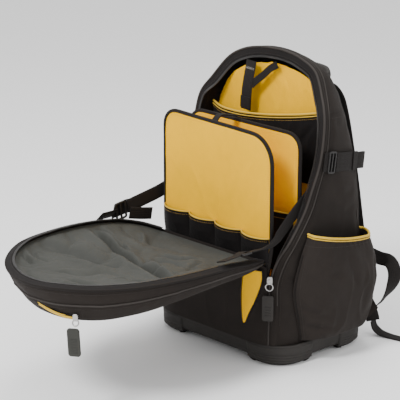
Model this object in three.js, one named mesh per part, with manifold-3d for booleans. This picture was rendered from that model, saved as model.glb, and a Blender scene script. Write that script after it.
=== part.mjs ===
// Tool backpack, standing open: moulded base tray with four corner feet, soft body shell,
// front flap folded down level, two organiser dividers, side pouches, harness straps.
// Millimetres, +Z up, the front faces -Y, +X is the right-hand side seen from the front.
// The tables are written about the centre of the base; FRAME_SHIFT_Y then moves the whole
// object so that the centre of its bounding box, flap and straps included, is at X = Y = 0.
import * as THREE from 'three';
import Module from 'manifold-3d';

const wasm = await Module();
wasm.setup();

// ---------- driving dimensions ----------
const FRAME_SHIFT_Y = 179.7;   // base centre to bounding box centre

const FABRIC = 2.4;            // coated fabric wall with its foam
const LINER = 1.8;             // lining and pocket cloth
const BOARD = 3;               // stiffened divider
const GAP = 0.4;               // clearance between touching pieces

const TRAY = { halfW: 163, halfD: 115, round: 52, top: 38, floor: 10, wall: 3, inset: 12, footX: 80, footY: 32 };
const FRONT_TOP_Z = 183;       // top edge of the fixed front panel, where the flap hinges
const HINGE_HALF = 127;

// one row for each station of the right half of the body shell, from the tray to the crown:
// xr yr zr = opening rim, xb yb zb = back edge, k1 o1 k2 o2 = fullness of the section between
const STATIONS = [
  // xr    yr    zr    xb   yb   zb    k1    o1   k2    o2
  [ 131, -111,  38.5,  146,  104,  38.5, 0.04, 38, 0.36, 22],
  [ 133, -112,    75,  148,  105,    75, 0.04, 40, 0.36, 22],
  [ 134, -112,   112,  149,  104,   112, 0.04, 40, 0.36, 20],
  [ 134, -111,   150,  149,  102,   150, 0.05, 38, 0.36, 18],
  [ 139,  -98,   188,  149,   99,   186, 0.10, 32, 0.36, 15],
  [ 152,  -83,   221,  148,   97,   218, 0.16, 16, 0.36, 12],
  [ 156,  -54,   266,  147,   95,   258, 0.22, 12, 0.34, 10],
  [ 158,  -38,   304,  144,   92,   300, 0.28,  8, 0.32,  9],
  [ 158,  -21,   344,  139,   88,   341, 0.30,  6, 0.30,  8],
  [ 157,  -12,   385,  131,   84,   380, 0.30,  6, 0.30,  8],
  [ 151,   -4,   424,  121,   80,   415, 0.30,  6, 0.30,  8],
  [ 134,    8,   452,  109,   78,   445, 0.30,  7, 0.30,  9],
  [ 104,   22,   491,   90,   76,   470, 0.30,  8, 0.30,  9],
  [  68,   24,   509,   58,   74,   487, 0.30,  8, 0.30,  9],
  [  34,   26,   516,   29,   73,   495, 0.30,  8, 0.30,  9],
  [   0,   26,   518,    0,   72,   498, 0.30,  8, 0.30,  9],
];
const SIDE_TOP = 10;           // station where the side panel meets the crown panel

// the flap's rim, right hinge end to left hinge end, and its outer face's edge below
const FLAP_RIM = [
  //  x     y    z  |  outer edge x  y   z
  [ 127, -121.5, 190, 126, -122.5, 182],
  [ 144, -160, 198,   141, -160, 184],
  [ 151, -215, 204,   147, -212, 183],
  [ 152, -280, 206,   147, -275, 179],
  [ 149, -350, 209,   143, -338, 173],
  [ 138, -420, 213,   128, -402, 165],
  [ 113, -474, 216,   103, -448, 160],
  [  70, -511, 217,    64, -480, 159],
  [  22, -526, 216,    20, -492, 161],
  [ -22, -523, 216,   -21, -490, 163],
  [ -70, -505, 218,   -64, -474, 168],
  [-111, -472, 221,  -102, -445, 174],
  [-140, -424, 226,  -130, -405, 181],
  [-151, -354, 229,  -144, -342, 187],
  [-153, -284, 228,  -148, -278, 191],
  [-152, -218, 221,  -148, -213, 192],
  [-145, -162, 208,  -142, -161, 189],
  [-127, -121.5, 192, -126, -122.5, 182],
];

const DIVIDER = {
  low: 44, lowHalf: 124,
  front: { y: -110.2, half: 135, tl: 413, tr: 404, rl: 30, rr: 52 },
  back: { y: -47, half: 138.5, tl: 404, tr: 399, rl: 34, rr: 30 },
};

const REAR_WALL_Y = 30;        // front face of the lined rear wall of the main compartment

// ---------- colours ----------
const BLACK = 0x35302d, DARK = 0x26221f, GREY = 0x6d6e69, YELLOW = 0xe9b044, TRIM = 0xc9b04a, RUBBER = 0x2e2b28, METAL = 0xb9b9bb;

const pack = new THREE.Group();
pack.position.set(0, FRAME_SHIFT_Y, 0);

// ---------- helpers ----------
const V = (x, y, z) => new THREE.Vector3(x, y, z);

function geometryFrom(verts, tris) {
  // closed mesh from shared vertices, wound outwards
  let vol = 0;
  for (const [a, b, c] of tris) vol += verts[a].dot(new THREE.Vector3().crossVectors(verts[b], verts[c])) / 6;
  const idx = [];
  for (const [a, b, c] of tris) vol > 0 ? idx.push(a, b, c) : idx.push(a, c, b);
  const g = new THREE.BufferGeometry();
  g.setAttribute('position', new THREE.Float32BufferAttribute(verts.flatMap((v) => [v.x, v.y, v.z]), 3));
  g.setIndex(idx);
  g.computeVertexNormals();
  return g;
}

function add(name, geometry, color, roughness = 0.9, metalness = 0) {
  const mesh = new THREE.Mesh(geometry, new THREE.MeshStandardMaterial({ color, roughness, metalness }));
  mesh.name = name;
  pack.add(mesh);
  return mesh;
}

// closed grid of a cloth sheet: rows of points, thickened to the side given by sign
function sheet(grid, t, sign = 1, loop = false) {
  const R = grid.length, C = grid[0].length;
  const at = (i, j) => grid[Math.min(R - 1, Math.max(0, i))][loop ? (j + C) % C : Math.min(C - 1, Math.max(0, j))];
  const verts = [], tris = [], off = R * C;
  for (let i = 0; i < R; i++) for (let j = 0; j < C; j++) verts.push(grid[i][j].clone());
  for (let i = 0; i < R; i++) for (let j = 0; j < C; j++) {
    const du = at(i, j + 1).clone().sub(at(i, j - 1));
    const dv = at(i + 1, j).clone().sub(at(i - 1, j));
    const n = du.cross(dv).normalize().multiplyScalar(sign * t);
    verts.push(grid[i][j].clone().add(n));
  }
  const J = loop ? C : C - 1;
  const id = (i, j, s) => i * C + (j % C) + s * off;
  for (let i = 0; i < R - 1; i++) for (let j = 0; j < J; j++) for (const s of [0, 1]) {
    const a = id(i, j, s), b = id(i, j + 1, s), c = id(i + 1, j + 1, s), d = id(i + 1, j, s);
    s ? tris.push([a, c, b], [a, d, c]) : tris.push([a, b, c], [a, c, d]);
  }
  const strip = (p, q) => { tris.push([p[0], q[0], q[1]], [p[0], q[1], p[1]]); };
  for (let j = 0; j < J; j++) {
    strip([id(0, j, 0), id(0, j, 1)], [id(0, j + 1, 0), id(0, j + 1, 1)].map((v) => v));
    strip([id(R - 1, j, 1), id(R - 1, j, 0)], [id(R - 1, j + 1, 1), id(R - 1, j + 1, 0)]);
  }
  if (!loop) for (let i = 0; i < R - 1; i++) {
    strip([id(i, 0, 1), id(i, 0, 0)], [id(i + 1, 0, 1), id(i + 1, 0, 0)]);
    strip([id(i, C - 1, 0), id(i, C - 1, 1)], [id(i + 1, C - 1, 0), id(i + 1, C - 1, 1)]);
  }
  // strips above run against the faces they close; their winding is set here
  const n = (R - 1) * J * 4;
  return geometryFrom(verts, tris.map((t3, k) => (k < n ? t3 : [t3[0], t3[2], t3[1]])));
}

// closed cup: rings from a mouth to a centre point, thickened inwards (sign)
function cup(rings, centre, t, sign) {
  const R = rings.length, C = rings[0].length;
  const verts = [], tris = [];
  const normal = (i, j) => {
    const up = i > 0 ? rings[i - 1][j] : rings[i][j];
    const dn = i < R - 1 ? rings[i + 1][j] : centre;
    const du = rings[i][(j + 1) % C].clone().sub(rings[i][(j + C - 1) % C]);
    return du.cross(dn.clone().sub(up)).normalize().multiplyScalar(sign * t);
  };
  for (const r of rings) for (const p of r) verts.push(p.clone());
  verts.push(centre.clone());
  const off = verts.length;
  for (let i = 0; i < R; i++) for (let j = 0; j < C; j++) verts.push(rings[i][j].clone().add(normal(i, j)));
  const cn = new THREE.Vector3();
  for (let j = 0; j < C; j++) cn.add(normal(R - 1, j));
  verts.push(centre.clone().add(cn.normalize().multiplyScalar(t)));
  for (const s of [0, 1]) {
    const o = s * off;
    const put = (a, b, c) => (s ? tris.push([o + a, o + c, o + b]) : tris.push([o + a, o + b, o + c]));
    for (let i = 0; i < R - 1; i++) for (let j = 0; j < C; j++) {
      const a = i * C + j, b = i * C + (j + 1) % C, c = (i + 1) * C + (j + 1) % C, d = (i + 1) * C + j;
      put(a, b, c); put(a, c, d);
    }
    for (let j = 0; j < C; j++) put((R - 1) * C + j, (R - 1) * C + (j + 1) % C, R * C);
  }
  for (let j = 0; j < C; j++) {
    const a = j, b = (j + 1) % C;
    tris.push([b, a, off + a], [b, off + a, off + b]);
  }
  return geometryFrom(verts, tris);
}

// solid through rings of equal count, with both ends closed by fans
function loft(rings) {
  const C = rings[0].length, verts = rings.flat().map((p) => p.clone()), tris = [];
  for (let i = 0; i < rings.length - 1; i++) for (let j = 0; j < C; j++) {
    const a = i * C + j, b = i * C + (j + 1) % C, c = (i + 1) * C + (j + 1) % C, d = (i + 1) * C + j;
    tris.push([a, b, c], [a, c, d]);
  }
  const last = (rings.length - 1) * C;
  const fan = (o, flip) => { for (let j = 1; j < C - 1; j++) flip ? tris.push([o, o + j + 1, o + j]) : tris.push([o, o + j, o + j + 1]); };
  fan(0, true); fan(last, false);
  return geometryFrom(verts, tris);
}

const smooth = (rows, n, closed = false) => new THREE.CatmullRomCurve3(rows.map((r) => V(r[0], r[1], r[2])), closed, 'centripetal').getSpacedPoints(n);

// flat webbing: path points, a width direction at each, width and thickness
function webbing(path, n, width, t, side) {
  const pts = smooth(path, n);
  const rings = pts.map((p, i) => {
    const T = pts[Math.min(n, i + 1)].clone().sub(pts[Math.max(0, i - 1)]).normalize();
    const k = i / n;
    const s = side(k);
    const W = s.clone().addScaledVector(T, -s.dot(T)).normalize();
    const N = new THREE.Vector3().crossVectors(T, W).normalize();
    const w = typeof width === 'function' ? width(k) : width;
    const tt = typeof t === 'function' ? t(k) : t;
    return [[-1, -1], [1, -1], [1, 1], [-1, 1]].map(([a, b]) => p.clone().addScaledVector(W, a * w / 2).addScaledVector(N, b * tt / 2));
  });
  return loft(rings);
}

// round piping along a curve
function piping(path, n, r, sides = 6) {
  const curve = new THREE.CatmullRomCurve3(path.map((p) => V(p[0], p[1], p[2])), false, 'centripetal');
  const s = new THREE.Shape();
  for (let k = 0; k < sides; k++) {
    const a = (2 * Math.PI * k) / sides;
    k ? s.lineTo(r * Math.cos(a), r * Math.sin(a)) : s.moveTo(r, 0);
  }
  return new THREE.ExtrudeGeometry(s, { steps: n, bevelEnabled: false, extrudePath: curve });
}

// three.js geometry to a manifold solid and back
function solid(g) {
  const pos = g.getAttribute('position');
  const key = new Map(), verts = [], idx = [];
  const src = g.index ? Array.from(g.index.array) : Array.from({ length: pos.count }, (_, i) => i);
  const map = [];
  for (let i = 0; i < pos.count; i++) {
    const p = [pos.getX(i), pos.getY(i), pos.getZ(i)].map((v) => Math.round(v * 1e4) / 1e4 + 0);
    const k = p.join();
    if (!key.has(k)) { key.set(k, verts.length / 3); verts.push(...p); }
    map.push(key.get(k));
  }
  for (let i = 0; i < src.length; i += 3) {
    const t = [map[src[i]], map[src[i + 1]], map[src[i + 2]]];
    if (new Set(t).size === 3) idx.push(...t);
  }
  return new wasm.Manifold(new wasm.Mesh({ numProp: 3, vertProperties: new Float32Array(verts), triVerts: new Uint32Array(idx) }));
}
function unsolid(m) {
  const r = m.getMesh();
  const g = new THREE.BufferGeometry();
  g.setAttribute('position', new THREE.BufferAttribute(new Float32Array(r.vertProperties), 3));
  g.setIndex(new THREE.BufferAttribute(new Uint32Array(r.triVerts), 1));
  g.computeVertexNormals();
  return g;
}
function box(x0, x1, y0, y1, z0, z1) {
  const g = new THREE.BoxGeometry(x1 - x0, y1 - y0, z1 - z0);
  g.translate((x0 + x1) / 2, (y0 + y1) / 2, (z0 + z1) / 2);
  return g;
}

// plan outline: rectangle with rounded-off corners, the same count of points at every level
function planRing(hw, hd, r, z, n = 4, dy = 0) {
  const out = [];
  for (const [sx, sy, a0] of [[1, -1, -90], [1, 1, 0], [-1, 1, 90], [-1, -1, 180]]) {
    for (let k = 0; k <= n; k++) {
      const a = THREE.MathUtils.degToRad(a0 + (90 * k) / n);
      out.push(V(sx * (hw - r) + r * Math.cos(a), dy + sy * (hd - r) + r * Math.sin(a), z));
    }
  }
  return out;
}
const mirrored = (rows) => rows.map((r) => [-r[0], ...r.slice(1)]);
const mirrorGrid = (grid) => grid.map((row) => row.map((p) => V(-p.x, p.y, p.z)));

// ---------- base tray with feet ----------
{
  const { halfW: w, halfD: d, round: r, top, floor, wall, inset, footX, footY } = TRAY;
  const outer = loft([planRing(w - 3, d - 3, r, floor), planRing(w - 1, d - 1, r, floor + 6), planRing(w, d, r, top - 1)]);
  const block = loft([planRing(w - inset, d - inset, r - 2, 0), planRing(w - 1, d - 1, r, 6), planRing(w + 2, d + 2, r + 1, top - 4)]);
  const hollow = loft([planRing(w - wall - 3, d - wall - 3, r - 2, floor + wall), planRing(w - wall, d - wall, r - 2, top + 5)]);
  let feet = null;
  for (const sx of [-1, 1]) for (const sy of [-1, 1]) {
    const b = solid(block).intersect(solid(box(Math.min(sx * footX, sx * 200), Math.max(sx * footX, sx * 200), Math.min(sy * footY, sy * 160), Math.max(sy * footY, sy * 160), -1, top)));
    feet = feet ? feet.add(b) : b;
  }
  const tray = solid(outer).add(feet).subtract(solid(hollow));
  add('base_tray', unsolid(tray), RUBBER, 0.7);
}

// ---------- body shell ----------
const stationCurve = STATIONS.map((s) => ({ F: V(s[0], s[1], s[2]), B: V(s[3], s[4], s[5]), f: s.slice(6) }));
function outward(i) {
  // outward direction of the shell at a station, in the XZ plane
  const a = stationCurve[Math.max(0, i - 1)], b = stationCurve[Math.min(STATIONS.length - 1, i + 1)];
  const m = (q) => q.F.clone().add(q.B).multiplyScalar(0.5);
  const t = m(b).sub(m(a));
  if (i === STATIONS.length - 1) return V(0, 0, 1);
  return V(t.z, 0, -t.x).normalize();
}
function section(i, n) {
  const { F, B, f: [k1, o1, k2, o2] } = stationCurve[i], d = B.clone().sub(F), o = outward(i);
  const H1 = F.clone().addScaledVector(d, k1).addScaledVector(o, o1);
  const H2 = B.clone().addScaledVector(d, -k2).addScaledVector(o, o2);
  return new THREE.CubicBezierCurve3(F, H1, H2, B).getPoints(n);
}
const SEC = 9;
const sideGrid = [];
for (let i = 0; i <= SIDE_TOP; i++) sideGrid.push(section(i, SEC));
const gapUp = (row, dz) => row.map((p) => V(p.x, p.y, p.z + dz));
sideGrid[SIDE_TOP] = gapUp(sideGrid[SIDE_TOP], -0.8);
add('side_panel_right', sheet(sideGrid, FABRIC, -1), BLACK);
add('side_panel_left', sheet(mirrorGrid(sideGrid), FABRIC, 1), BLACK);
{
  const half = [];
  for (let i = SIDE_TOP; i < STATIONS.length; i++) half.push(section(i, SEC));
  half[0] = gapUp(half[0], 0.8);
  const rows = [...half, ...mirrorGrid(half.slice(0, -1)).reverse()];
  add('crown_panel', sheet(rows, FABRIC, -1), BLACK);
}

// fixed front panel between the front seams, below the hinge
{
  const cols = [-1, -0.94, -0.86, -0.75, -0.5, -0.25, 0, 0.25, 0.5, 0.75, 0.86, 0.94, 1];
  const rows = [0, 0.25, 0.5, 0.77, 1];
  const grid = rows.map((v) => cols.map((u) => {
    const a = Math.abs(u);
    const edgeTop = a > 0.9 ? THREE.MathUtils.lerp(FRONT_TOP_Z, 176, (a - 0.9) / 0.1) : FRONT_TOP_Z;
    const z = THREE.MathUtils.lerp(38.5, edgeTop, v);
    const xe = THREE.MathUtils.lerp(130, 133, Math.sin(Math.PI * v)) - (v === 1 ? 3 : 0) - GAP;
    const y = -118.3 - 3.2 * Math.sin(Math.PI * (0.15 + 0.7 * v)) + 6.5 * Math.max(0, (a - 0.7) / 0.3) ** 2;
    return V(xe * u, y, z);
  }));
  add('front_panel', sheet(grid, FABRIC, -1), BLACK);
}

// zip tape round the opening: a flange turned in from the rim
const rimFrame = (i) => {
  const F = stationCurve[i].F;
  const T = stationCurve[Math.min(STATIONS.length - 1, i + 1)].F.clone().sub(stationCurve[Math.max(0, i - 1)].F).normalize();
  if (i === STATIONS.length - 1) T.set(-1, 0, 0);
  const toBack = section(i, SEC)[1].sub(F).normalize();
  const back = toBack.addScaledVector(T, -toBack.dot(T)).normalize();
  const out = new THREE.Vector3().crossVectors(back, T).normalize();
  if (out.dot(outward(i)) < 0) out.negate();
  return { F, T, back, out };
};
{
  const half = [];
  for (let i = 3; i < STATIONS.length; i++) {
    const { F, back, out } = rimFrame(i);
    const w = i < 5 ? 7 + 1.5 * (i - 3) : i < 10 ? 10 : i < 11 ? 12 : 16;
    const a = F.clone().addScaledVector(back, -0.5).addScaledVector(out, 0.4);
    const b = F.clone().addScaledVector(back, -2.4).addScaledVector(out, -w);
    half.push([a, a.clone().lerp(b, 0.5), b]);
  }
  const rows = [...half, ...mirrorGrid(half.slice(0, -1)).reverse()];
  add('rim_zip_tape', sheet(rows, 2, -1), DARK);
}

// padded back panel: closed pad that follows the back edge
{
  const ring = (inset, y) => {
    const half = stationCurve.map(({ B }, i) => B.clone().addScaledVector(outward(i), -inset));
    const pts = [...half, ...half.slice(0, -1).reverse().map((p) => V(-p.x, p.y, p.z))];
    return pts.map((p) => V(p.x, y(p), Math.max(p.z, 39)));
  };
  const base = (p) => THREE.MathUtils.mapLinear(p.z, 39, 498, 104, 72);
  const pad = loft([
    ring(4, (p) => base(p) - 14),
    ring(3.2, (p) => base(p) + 1.5),
    ring(10, (p) => base(p) + 8),
    ring(26, (p) => base(p) + 12),
  ]);
  add('back_panel', pad, BLACK);
}

// lined rear wall of the main compartment
const rearHalf = (z) => {
  // half width available inside the shell at the rear wall's plane
  const rows = [[40, 150], [150, 150], [262, 149], [304, 149], [344, 148], [385, 145], [415, 136], [445, 119], [464, 100], [478, 74], [487, 44], [490.5, 0]];
  for (let i = 0; i < rows.length - 1; i++) if (z <= rows[i + 1][0]) return THREE.MathUtils.mapLinear(z, rows[i][0], rows[i + 1][0], rows[i][1], rows[i + 1][1]);
  return 0;
};
{
  const zs = [40, 150, 262, 304, 344, 385, 415, 445, 464, 478, 487, 490.5];
  const s = new THREE.Shape();
  zs.forEach((z, k) => (k ? s.lineTo(rearHalf(z), z) : s.moveTo(rearHalf(z), z)));
  [...zs].reverse().slice(1).forEach((z) => s.lineTo(-rearHalf(z), z));
  const g = new THREE.ExtrudeGeometry(s, { depth: BOARD, bevelEnabled: false });
  g.rotateX(Math.PI / 2);
  g.translate(0, REAR_WALL_Y + BOARD, 0);
  add('rear_wall_lining', g, YELLOW);
}

// upper pocket on the rear wall, mouth bowed forward
const POCKET_MOUTH = [[-141, 16, 405], [-108, 5, 400], [-55, -3, 400], [0, -4, 404], [55, -2, 411], [108, 5, 420], [141, 16, 427]];
{
  const top = smooth(POCKET_MOUTH, 14);
  const grid = top.map((p) => [
    p.clone().add(V(0, 0, -1.6)),
    V(p.x, p.y + 1, p.z - 40),
    V(p.x, THREE.MathUtils.lerp(p.y, 21, 0.45), p.z - 85),
    V(p.x, REAR_WALL_Y - 3, 290),
  ]);
  add('upper_pocket', sheet(grid, LINER, 1), DARK);
  add('upper_pocket_piping', piping(POCKET_MOUTH.map(([x, y, z]) => [x, y, z + 1]), 16, 2.1), TRIM, 0.7);
}

// retaining strap of the upper pocket, with its side arm
add('retainer_strap', webbing([[-42, 15.5, 492], [-44, 11, 465], [-47, 9, 440], [-50, 9.5, 404]], 8, 25, 2, () => V(1, 0, 0)), DARK);
add('retainer_strap_arm', webbing([[-27.5, 12, 458], [-12, 14, 470], [4, 16, 484], [18, 18.5, 492]], 6, 13, 1.6, () => V(0.3, 0, -1)), DARK);

// ---------- dividers ----------
function boardOutline({ half, tl, tr, rl, rr }, grow = 0) {
  const h = half + grow, s = new THREE.Shape(), pts = [];
  pts.push([DIVIDER.lowHalf + grow, DIVIDER.low - grow], [DIVIDER.lowHalf + grow, 150], [h, 206]);
  for (let k = 0; k <= 5; k++) { const a = (Math.PI / 2) * (k / 5); pts.push([h - (rr + grow) + (rr + grow) * Math.cos(a), tr + grow - (rr + grow) + (rr + grow) * Math.sin(a)]); }
  for (let k = 0; k <= 5; k++) { const a = Math.PI / 2 + (Math.PI / 2) * (k / 5); pts.push([-h + (rl + grow) + (rl + grow) * Math.cos(a), tl + grow - (rl + grow) + (rl + grow) * Math.sin(a)]); }
  pts.push([-h, 206], [-(DIVIDER.lowHalf + grow), 150], [-(DIVIDER.lowHalf + grow), DIVIDER.low - grow]);
  pts.forEach(([x, z], k) => (k ? s.lineTo(x, z) : s.moveTo(x, z)));
  return { shape: s, pts };
}
for (const side of ['front', 'back']) {
  const cfg = DIVIDER[side];
  const { shape } = boardOutline(cfg, -5.2);
  const g = new THREE.ExtrudeGeometry(shape, { depth: BOARD, bevelEnabled: false });
  g.rotateX(Math.PI / 2);
  g.translate(0, cfg.y + BOARD, 0);
  add(`divider_${side}`, g, YELLOW);
  // edge binding: a frame round the sides and top
  const rim = boardOutline(cfg, 0).pts, inn = boardOutline(cfg, -4.8).pts;
  const b = new THREE.Shape();
  rim.forEach(([x, z], k) => (k ? b.lineTo(x, z) : b.moveTo(x, z)));
  [...inn].reverse().forEach(([x, z], k) => b.lineTo(x, k === 0 || k === inn.length - 1 ? rim[0][1] : z));
  const bg = new THREE.ExtrudeGeometry(b, { depth: BOARD + 1.6, bevelEnabled: false });
  bg.rotateX(Math.PI / 2);
  bg.translate(0, cfg.y + BOARD + 0.8, 0);
  add(`divider_${side}_binding`, bg, DARK);
}
add('divider_link_tab', webbing([[-12, DIVIDER.front.y + 4.6, 404], [-12, -92, 414.5], [-12, -70, 411.5], [-12, -48.8, 407.2]], 6, 14, 2, () => V(1, 0, 0)), DARK);

// rows of tool pockets on the front divider, mouths held open, bellies forward
function pocketRow(count, x0, x1, mouth, low, depth, backY) {
  const cols = count * 6 + 1, grid = [];
  for (let j = 0; j < cols; j++) {
    const u = j / (cols - 1), x = THREE.MathUtils.lerp(x0, x1, u);
    const belly = Math.pow(Math.abs(Math.sin(Math.PI * count * u)), 0.7);
    const zt = mouth + 5 * (0.5 - u) * 2;
    grid.push([
      V(x, backY - 2.4 - depth * belly, zt),
      V(x, backY - 2.4 - depth * 0.85 * belly, THREE.MathUtils.lerp(zt, low, 0.45)),
      V(x, backY - 2.4 - depth * 0.2 * belly, low),
    ]);
  }
  return grid;
}
{
  const fy = DIVIDER.front.y;
  const rowA = pocketRow(4, -128, 128, 231, 186, 16, fy);
  add('divider_pockets_upper', sheet(rowA, LINER, 1), DARK);
  add('divider_pockets_upper_trim', piping(rowA.filter((_, k) => k % 2 === 0).map(([p]) => [p.x, p.y + LINER / 2, p.z + 1.7]), 48, 1.3, 5), TRIM, 0.7);
  const by = DIVIDER.back.y;
  const rowB = pocketRow(3, -126, 126, 262, 150, 15, by);
  add('divider_back_pockets', sheet(rowB, LINER, 1), DARK);
  add('divider_back_pockets_trim', piping(rowB.filter((_, k) => k % 2 === 0).map(([p]) => [p.x, p.y + LINER / 2, p.z + 1.7]), 36, 1.3, 5), TRIM, 0.7);
}

// ---------- crescent panels on the fixed front panel ----------
{
  const rows = [ // z, inner x, outer x of the right crescent
    [172, 83, 124], [160, 82, 125], [146, 80, 122.5], [128, 78.5, 116], [108, 78.5, 107], [88, 80, 96], [72, 83, 89],
  ];
  const grid = rows.map(([z, a, b]) => [0, 0.5, 1].map((u) => V(THREE.MathUtils.lerp(a, b, u), -122.4 - 2.2 * Math.sin(Math.PI * u) + 5.6 * Math.max(0, (THREE.MathUtils.lerp(a, b, u) - 91) / 40) ** 2, z)));
  add('front_crescent_right', sheet(grid, 1.6, -1), YELLOW);
  add('front_crescent_left', sheet(mirrorGrid(grid), 1.6, 1), YELLOW);
}

// ---------- flap ----------
const flapRim = smooth(FLAP_RIM.map((r) => r.slice(0, 3)), 34);
const flapEdge = smooth(FLAP_RIM.map((r) => r.slice(3, 6)), 34);
const hingeFill = (a, b, n) => Array.from({ length: n }, (_, k) => a.clone().lerp(b, (k + 1) / (n + 1)));
const rimLoop = [...flapRim, ...hingeFill(flapRim[34], flapRim[0], 5)];
const edgeLoop = [...flapEdge, ...hingeFill(flapEdge[34], flapEdge[0], 5)];
const FLAP_C = V(0, -305, 205);
{
  const toward = (loop, c, k, dz) => loop.map((p) => V(THREE.MathUtils.lerp(p.x, c.x, k), THREE.MathUtils.lerp(p.y, c.y, k), p.z + (c.z - p.z) * k + dz * Math.sin(Math.PI * Math.min(1, k * 1.1))));
  const under = V(0, -305, 171);
  add('flap_shell', cup([rimLoop, rimLoop.map((p, i) => p.clone().lerp(edgeLoop[i], 0.55).add(V(Math.sign(p.x) * 0.8, 0, 0))), edgeLoop, toward(edgeLoop, under, 0.35, -2), toward(edgeLoop, under, 0.7, -2)], under, FABRIC, -1), BLACK);
  const inner = rimLoop.map((p, i) => { const q = p.clone().lerp(V(0, -305, p.z), 0.042); q.z -= 1.5; return q; });
  const sag = V(0, -300, 197);
  add('flap_lining', cup([inner, toward(inner, sag, 0.3, -1.5), toward(inner, sag, 0.65, -1)], sag, 1.5, 1), GREY);
  // zip tape on the flap's rim, standing up from the wall
  const tape = flapRim.map((p, i) => {
    const o = V(p.x, (p.y + 305) * 0.9, 0).normalize();
    const a = p.clone().add(V(0, 0, 0.5)).addScaledVector(o, 1.2);
    return [a, a.clone().addScaledVector(o, -7).add(V(0, 0, 2.4)), a.clone().addScaledVector(o, -13).add(V(0, 0, 3))];
  });
  add('flap_zip_tape', sheet(tape, 1.8, 1), DARK);
}
// outer pocket at the flap's free end: zip with piping, slider ring and rubber pull
const PIPE = [[22, -508, 184], [40, -504, 178], [60, -496.5, 172], [79, -485, 167]];
add('flap_pocket_piping', piping(PIPE, 14, 2.2), TRIM, 0.7);
{
  const ring = new THREE.TorusGeometry(5, 1.1, 6, 14);
  ring.rotateX(Math.PI / 2 - 0.3);
  ring.rotateZ(0.5);
  ring.translate(82.5, -488, 160);
  add('flap_pocket_slider', ring, METAL, 0.3, 0.9);
  const tab = new THREE.BoxGeometry(21, 4, 46);
  tab.rotateY(0.06);
  tab.translate(84, -489, 128.5);
  add('flap_pocket_pull', tab, RUBBER, 0.6);
}

// ---------- main zip sliders and pulls ----------
for (const [side, s] of [['right', 1], ['left', -1]]) {
  const ring = new THREE.TorusGeometry(6.2, 1.3, 6, 14);
  ring.rotateX(Math.PI / 2);
  ring.rotateZ(s * 0.6);
  ring.translate(s * 140.5, -120.5, 147);
  add(`main_slider_${side}`, ring, METAL, 0.3, 0.9);
  const tab = new THREE.BoxGeometry(17, 4, 46);
  tab.rotateZ(s * 0.35);
  tab.translate(s * 138.5, -121.5, 109);
  add(`main_pull_${side}`, tab, RUBBER, 0.7);
}

// ---------- support straps of the flap ----------
const vert = () => V(0, 0.25, 1);
add('support_strap_left', webbing([[-143, -30, 292], [-143, -60, 276], [-143.6, -84, 267], [-146, -112, 257], [-150.5, -150, 247], [-154.5, -179, 239.5]], 10, 25, 2, vert), DARK);
add('support_strap_left_lower', webbing([[-153, -211.5, 233.5], [-152, -228, 233.5], [-150, -248, 234]], 4, 24, 2, () => V(0.9, 0.1, 0.9)), DARK);
add('support_strap_left_tail', webbing([[-148, -181, 229], [-146.5, -158, 224], [-146, -131, 219]], 5, 22, 1.8, vert), DARK);
add('support_strap_right', webbing([[142, -30, 290], [141.6, -62, 266], [142.2, -92, 241], [143.8, -114, 226], [143, -142, 220.5], [142.5, -173, 220]], 12, 23, 2, (k) => { const q = THREE.MathUtils.clamp((k - 0.56) * 3.4, 0, 1); return V(0.95 * q, 0.3 * (1 - q), 1 - 0.7 * q); }), DARK);
add('support_strap_right_lower', webbing([[142, -200, 219.5], [142, -216, 218.5], [141.5, -234, 217]], 4, 23, 2, () => V(0.95, 0, 0.3)), DARK);
function frame(w, h, bar, depth) {
  // rectangular slider frame with a middle bar
  let m = solid(box(-w / 2, w / 2, -h / 2, h / 2, -depth / 2, depth / 2));
  for (const [x0, x1] of [[-w / 2 + bar, -bar / 2], [bar / 2, w / 2 - bar]]) {
    m = m.subtract(solid(box(x0, x1, -h / 2 + bar, h / 2 - bar, -depth, depth)));
  }
  return unsolid(m);
}
{
  const g = frame(25, 33, 3.6, 4);
  const m = new THREE.Matrix4().makeBasis(V(0, -0.985, -0.17).normalize(), V(0, -0.17, 0.985).normalize(), V(-1, 0, 0));
  g.applyMatrix4(m); g.translate(-155.4, -195.5, 234);
  add('ladder_lock_left', geometryFromSoup(g), RUBBER, 0.5);
  const h = frame(22, 28, 3.4, 4);
  const m2 = new THREE.Matrix4().makeBasis(V(0, -1, 0), V(0.9536, 0, 0.3011), V(-0.3011, 0, 0.9536));
  h.applyMatrix4(m2); h.translate(142.5, -186, 219.8);
  add('ladder_lock_right', geometryFromSoup(h), RUBBER, 0.5);
}

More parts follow.
